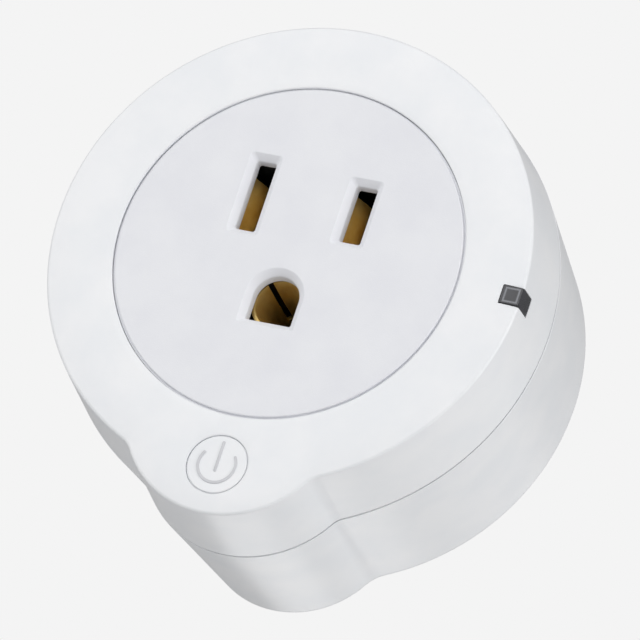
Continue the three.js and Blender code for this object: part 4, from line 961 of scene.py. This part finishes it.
window = combine("INTERSECT", window_body(0), [loft(
    [(0.04, outline(taper(0.04))), (4.5, outline(taper(4.5)))])])
piece_z = (window_z[0] + window_z[1]) / 2
rounded(window, 0.08, 2)
join(window, block((24.6, 26.4), (2.3, 8.0 - 0.9 - 0.3), (piece_z - 0.9, piece_z + 0.9)),
     block((24.6, 26.5), (2.3, window_wrap), (piece_z - 0.9, piece_z + 0.9)))
smoked, tree, shader, at = surface("smoked_acrylic")
drift = add(tree, "TexNoise", {"Scale": 1 / (1.2 * mm), "Detail": 3}, {"Vector": at})
spread = add(tree, "SeparateXYZ", {}, {"Vector": at})
frame_centre = place @ Vector((window_x + 1.25, 0, piece_z))
edges = []
for axis, centre in (("X", frame_centre.x), ("Z", frame_centre.z)):
    away = add(tree, "Math", {"operation": "SUBTRACT", 1: centre}, {0: spread.outputs[axis]})
    edges.append(add(tree, "Math", {"operation": "ABSOLUTE"}, {0: away}))
square = add(tree, "Math", {"operation": "MAXIMUM"}, {0: edges[0], 1: edges[1]})
off_line = add(tree, "Math", {"operation": "SUBTRACT", 1: 0.82 * mm}, {0: square})
near = add(tree, "Math", {"operation": "ABSOLUTE"}, {0: off_line})
outline_mask = add(tree, "MapRange", {
    "From Min": 0.03 * mm, "From Max": 0.16 * mm, "To Min": 1.0, "To Max": 0.0}, {"Value": near})
smoke = shade(tree, drift, [(0.3, "26272b"), (0.7, "33343a")])
tint = add(tree, "Mix", {"data_type": "RGBA", 7: linear("7d7f85")},
           {0: outline_mask, 6: smoke})
wear = add(tree, "TexNoise", {"Scale": 1 / (0.4 * mm), "Detail": 2}, {"Vector": at})
skinned(tree, shader, tint.outputs[2], wear, (0.14, 0.24))
shader.inputs["IOR"].default_value = 1.49
piece("light_window", window, smoked)

# -------------------- front shell
# The front half of the case: the gently crowned ring round the outlet and the first part of the side.
# It is moulded with the button's guide and four hollow bosses that the case screws bite into.
bore_radius = disc_radius + gap
circle = [(math.cos(math.atan2(z, x)), math.sin(math.atan2(z, x))) for x, z in outline(0)]
land = outline(crown_reach)
front_end = parting - parting_gap / 2
under = shell_wall


def bore_ring(radius, share=1.0):
    """Points on the way from the ring's flat land to a circle round the outlet."""
    return [(px + (radius * cx - px) * share, pz + (radius * cz - pz) * share)
            for (px, pz), (cx, cz) in zip(land, circle)]


front = loft([
    (front_end, outline(taper(front_end) + 0.05)),
    (front_end - 0.05, outline(taper(front_end))),
    *[(d, outline(taper(d))) for d in (8.0, 5.0, 2.4)],
    *[(depth, outline(inset)) for depth, inset in rim_rings + crown_rings],
    *[(0, bore_ring(bore_radius + 0.16, share)) for share in (0.35, 0.7, 1.0)],
    (0.02, bore_ring(bore_radius + 0.06)), (0.07, bore_ring(bore_radius + 0.01)),
    (0.16, bore_ring(bore_radius)), (under, bore_ring(bore_radius)),
    (under, outline(taper(under) + shell_wall + 1.0)),
    (under + 0.3, outline(taper(under) + shell_wall + 0.3)),
    (under + 1.0, outline(taper(under) + shell_wall)),
    (front_end - tongue_length, outline(taper(front_end - tongue_length) + shell_wall)),
    (front_end - tongue_length, outline(taper(front_end - tongue_length) + shell_wall - tongue_wall - gap)),
    (front_end, outline(taper(front_end) + shell_wall - tongue_wall - gap)),
], closed=True)
guide_radius = 4.7
boss_end = post_front - gap
boss_radius = 2.3
join(front, turned([(guide_radius + 0.8, under - 0.5), (guide_radius + 0.8, under + 2)], 0, button_z, 64),
     *stood(case_screws, [(boss_radius, 1.2), (boss_radius, boss_end)], 40))
hole = 3.66
cut(front,
    turned([(hole + 0.14, -1), (hole + 0.14, 0), (hole + 0.05, 0.02), (hole + 0.01, 0.06), (hole, 0.14),
            (hole, under + 0.01), (guide_radius, under + 0.01), (guide_radius, under + 3)], 0, button_z, 96),
    *stood(case_screws, [(shank_hole, under + 1), (shank_hole, boss_end + 1)]),
    window_body(0.08))
piece("front_shell", front, case_abs, node="front_cover")

# -------------------- case screws
# Four zinc-plated pan heads close the case from behind. They sit deep in the rear shell's wells and
# bite into the front shell's bosses.
screws("case_screw", case_screws, screw_seat, -1, (1.95, 1.5), 0.9, 1.2, 9.4)

# -------------------- studio
# A pale floor far under the plug, a plain white backdrop, and a tent of soft light with two soft boxes.
floor = block((-3000, 3000), (-3000, 3000), (-1010, -1000))
floor.data.transform(Matrix.Scale(mm, 4))
floor.name = "floor"
pale = moulded("floor_card", ("f2f2f2", "efefef"), 0.8, grain=2.0, relief=0.01, blotch=200.0)
floor.data.materials.append(pale)

world = bpy.data.worlds.new("backdrop")
bpy.context.scene.world = world
world.use_nodes = True
world.node_tree.nodes["Background"].inputs["Color"].default_value = linear("f4f4f4")
for kind in ("diffuse", "glossy", "transmission", "scatter"):
    setattr(world.cycles_visibility, kind, False)

camera = bpy.data.objects.new("camera", bpy.data.cameras.new("camera"))
bpy.context.scene.collection.objects.link(camera)
bpy.context.scene.camera = camera
azimuth, elevation, roll = (math.radians(angle) for angle in (22.02, -20.04, -18.71))
camera.data.sensor_width = 36
camera.data.lens = 1125
camera.data.clip_end = 10
# The plug sits a little left of and above the middle of the view, 2.28 m away.
camera.matrix_world = (Matrix.Translation(place.translation) @ Matrix.Rotation(azimuth, 4, "Z")
                       @ Matrix.Rotation(math.pi / 2 - elevation, 4, "X") @ Matrix.Rotation(-roll, 4, "Z")
                       @ Matrix.Translation((3.58 * mm, -7.66 * mm, 2.279)))

bpy.context.scene.view_settings.view_transform = "Standard"

dome = bmesh.new()
bmesh.ops.create_icosphere(dome, subdivisions=4, radius=6)
tent = as_shape(dome, "tent")
tent.visible_camera = False
tent.visible_shadow = False
cloth = bpy.data.materials.new("tent_cloth")
cloth.use_nodes = True
cloth.node_tree.nodes.remove(cloth.node_tree.nodes["Principled BSDF"])
glow = add(cloth.node_tree, "Emission", {"Color": (1, 1, 1, 1), "Strength": 0.3})
cloth.node_tree.links.new(glow.outputs[0], cloth.node_tree.nodes["Material Output"].inputs["Surface"])
tent.data.materials.append(cloth)


def softbox(name, direction, distance, size, power, sheen_only=False):
    """A soft light aimed at the plug. Direction is towards the light, distances are in metres."""
    light = bpy.data.lights.new(name, "AREA")
    light.shape = "RECTANGLE"
    light.size, light.size_y = size
    light.energy = power
    lamp = bpy.data.objects.new(name, light)
    bpy.context.scene.collection.objects.link(lamp)
    way = Vector(direction).normalized()
    lamp.location = place @ Vector((0, 15, 0)) + way * distance
    lamp.rotation_mode = "QUATERNION"
    lamp.rotation_quaternion = way.to_track_quat("Z", "Y")
    lamp.visible_camera = False
    lamp.visible_diffuse = not sheen_only
    return lamp


softbox("key", (-0.45, -0.75, 0.5), 1.6, (1.4, 1.4), 12.6)
softbox("slot_fill", (0.25, -0.9, 0.33), 0.7, (0.25, 0.25), 0.45)
softbox("side", (0.95, -0.3, 0.1), 1.6, (1.2, 1.2), 15)
softbox("left", (-0.9, -0.2, -0.3), 1.6, (1.2, 1.2), 3.8)
softbox("lobe_strip", (-0.083, 0.871, -0.484), 1.2, (0.55, 0.55), 2.1, sheen_only=True)
softbox("side_strip", (0.443, 0.871, -0.214), 1.2, (0.9, 0.9), 1.4, sheen_only=True)
# The wall side gets its own soft light, kept out of the reflections on the side wall.
back = softbox("back", (-0.45, 0.8, 0.5), 1.6, (1.4, 1.4), 5)
back.visible_glossy = False
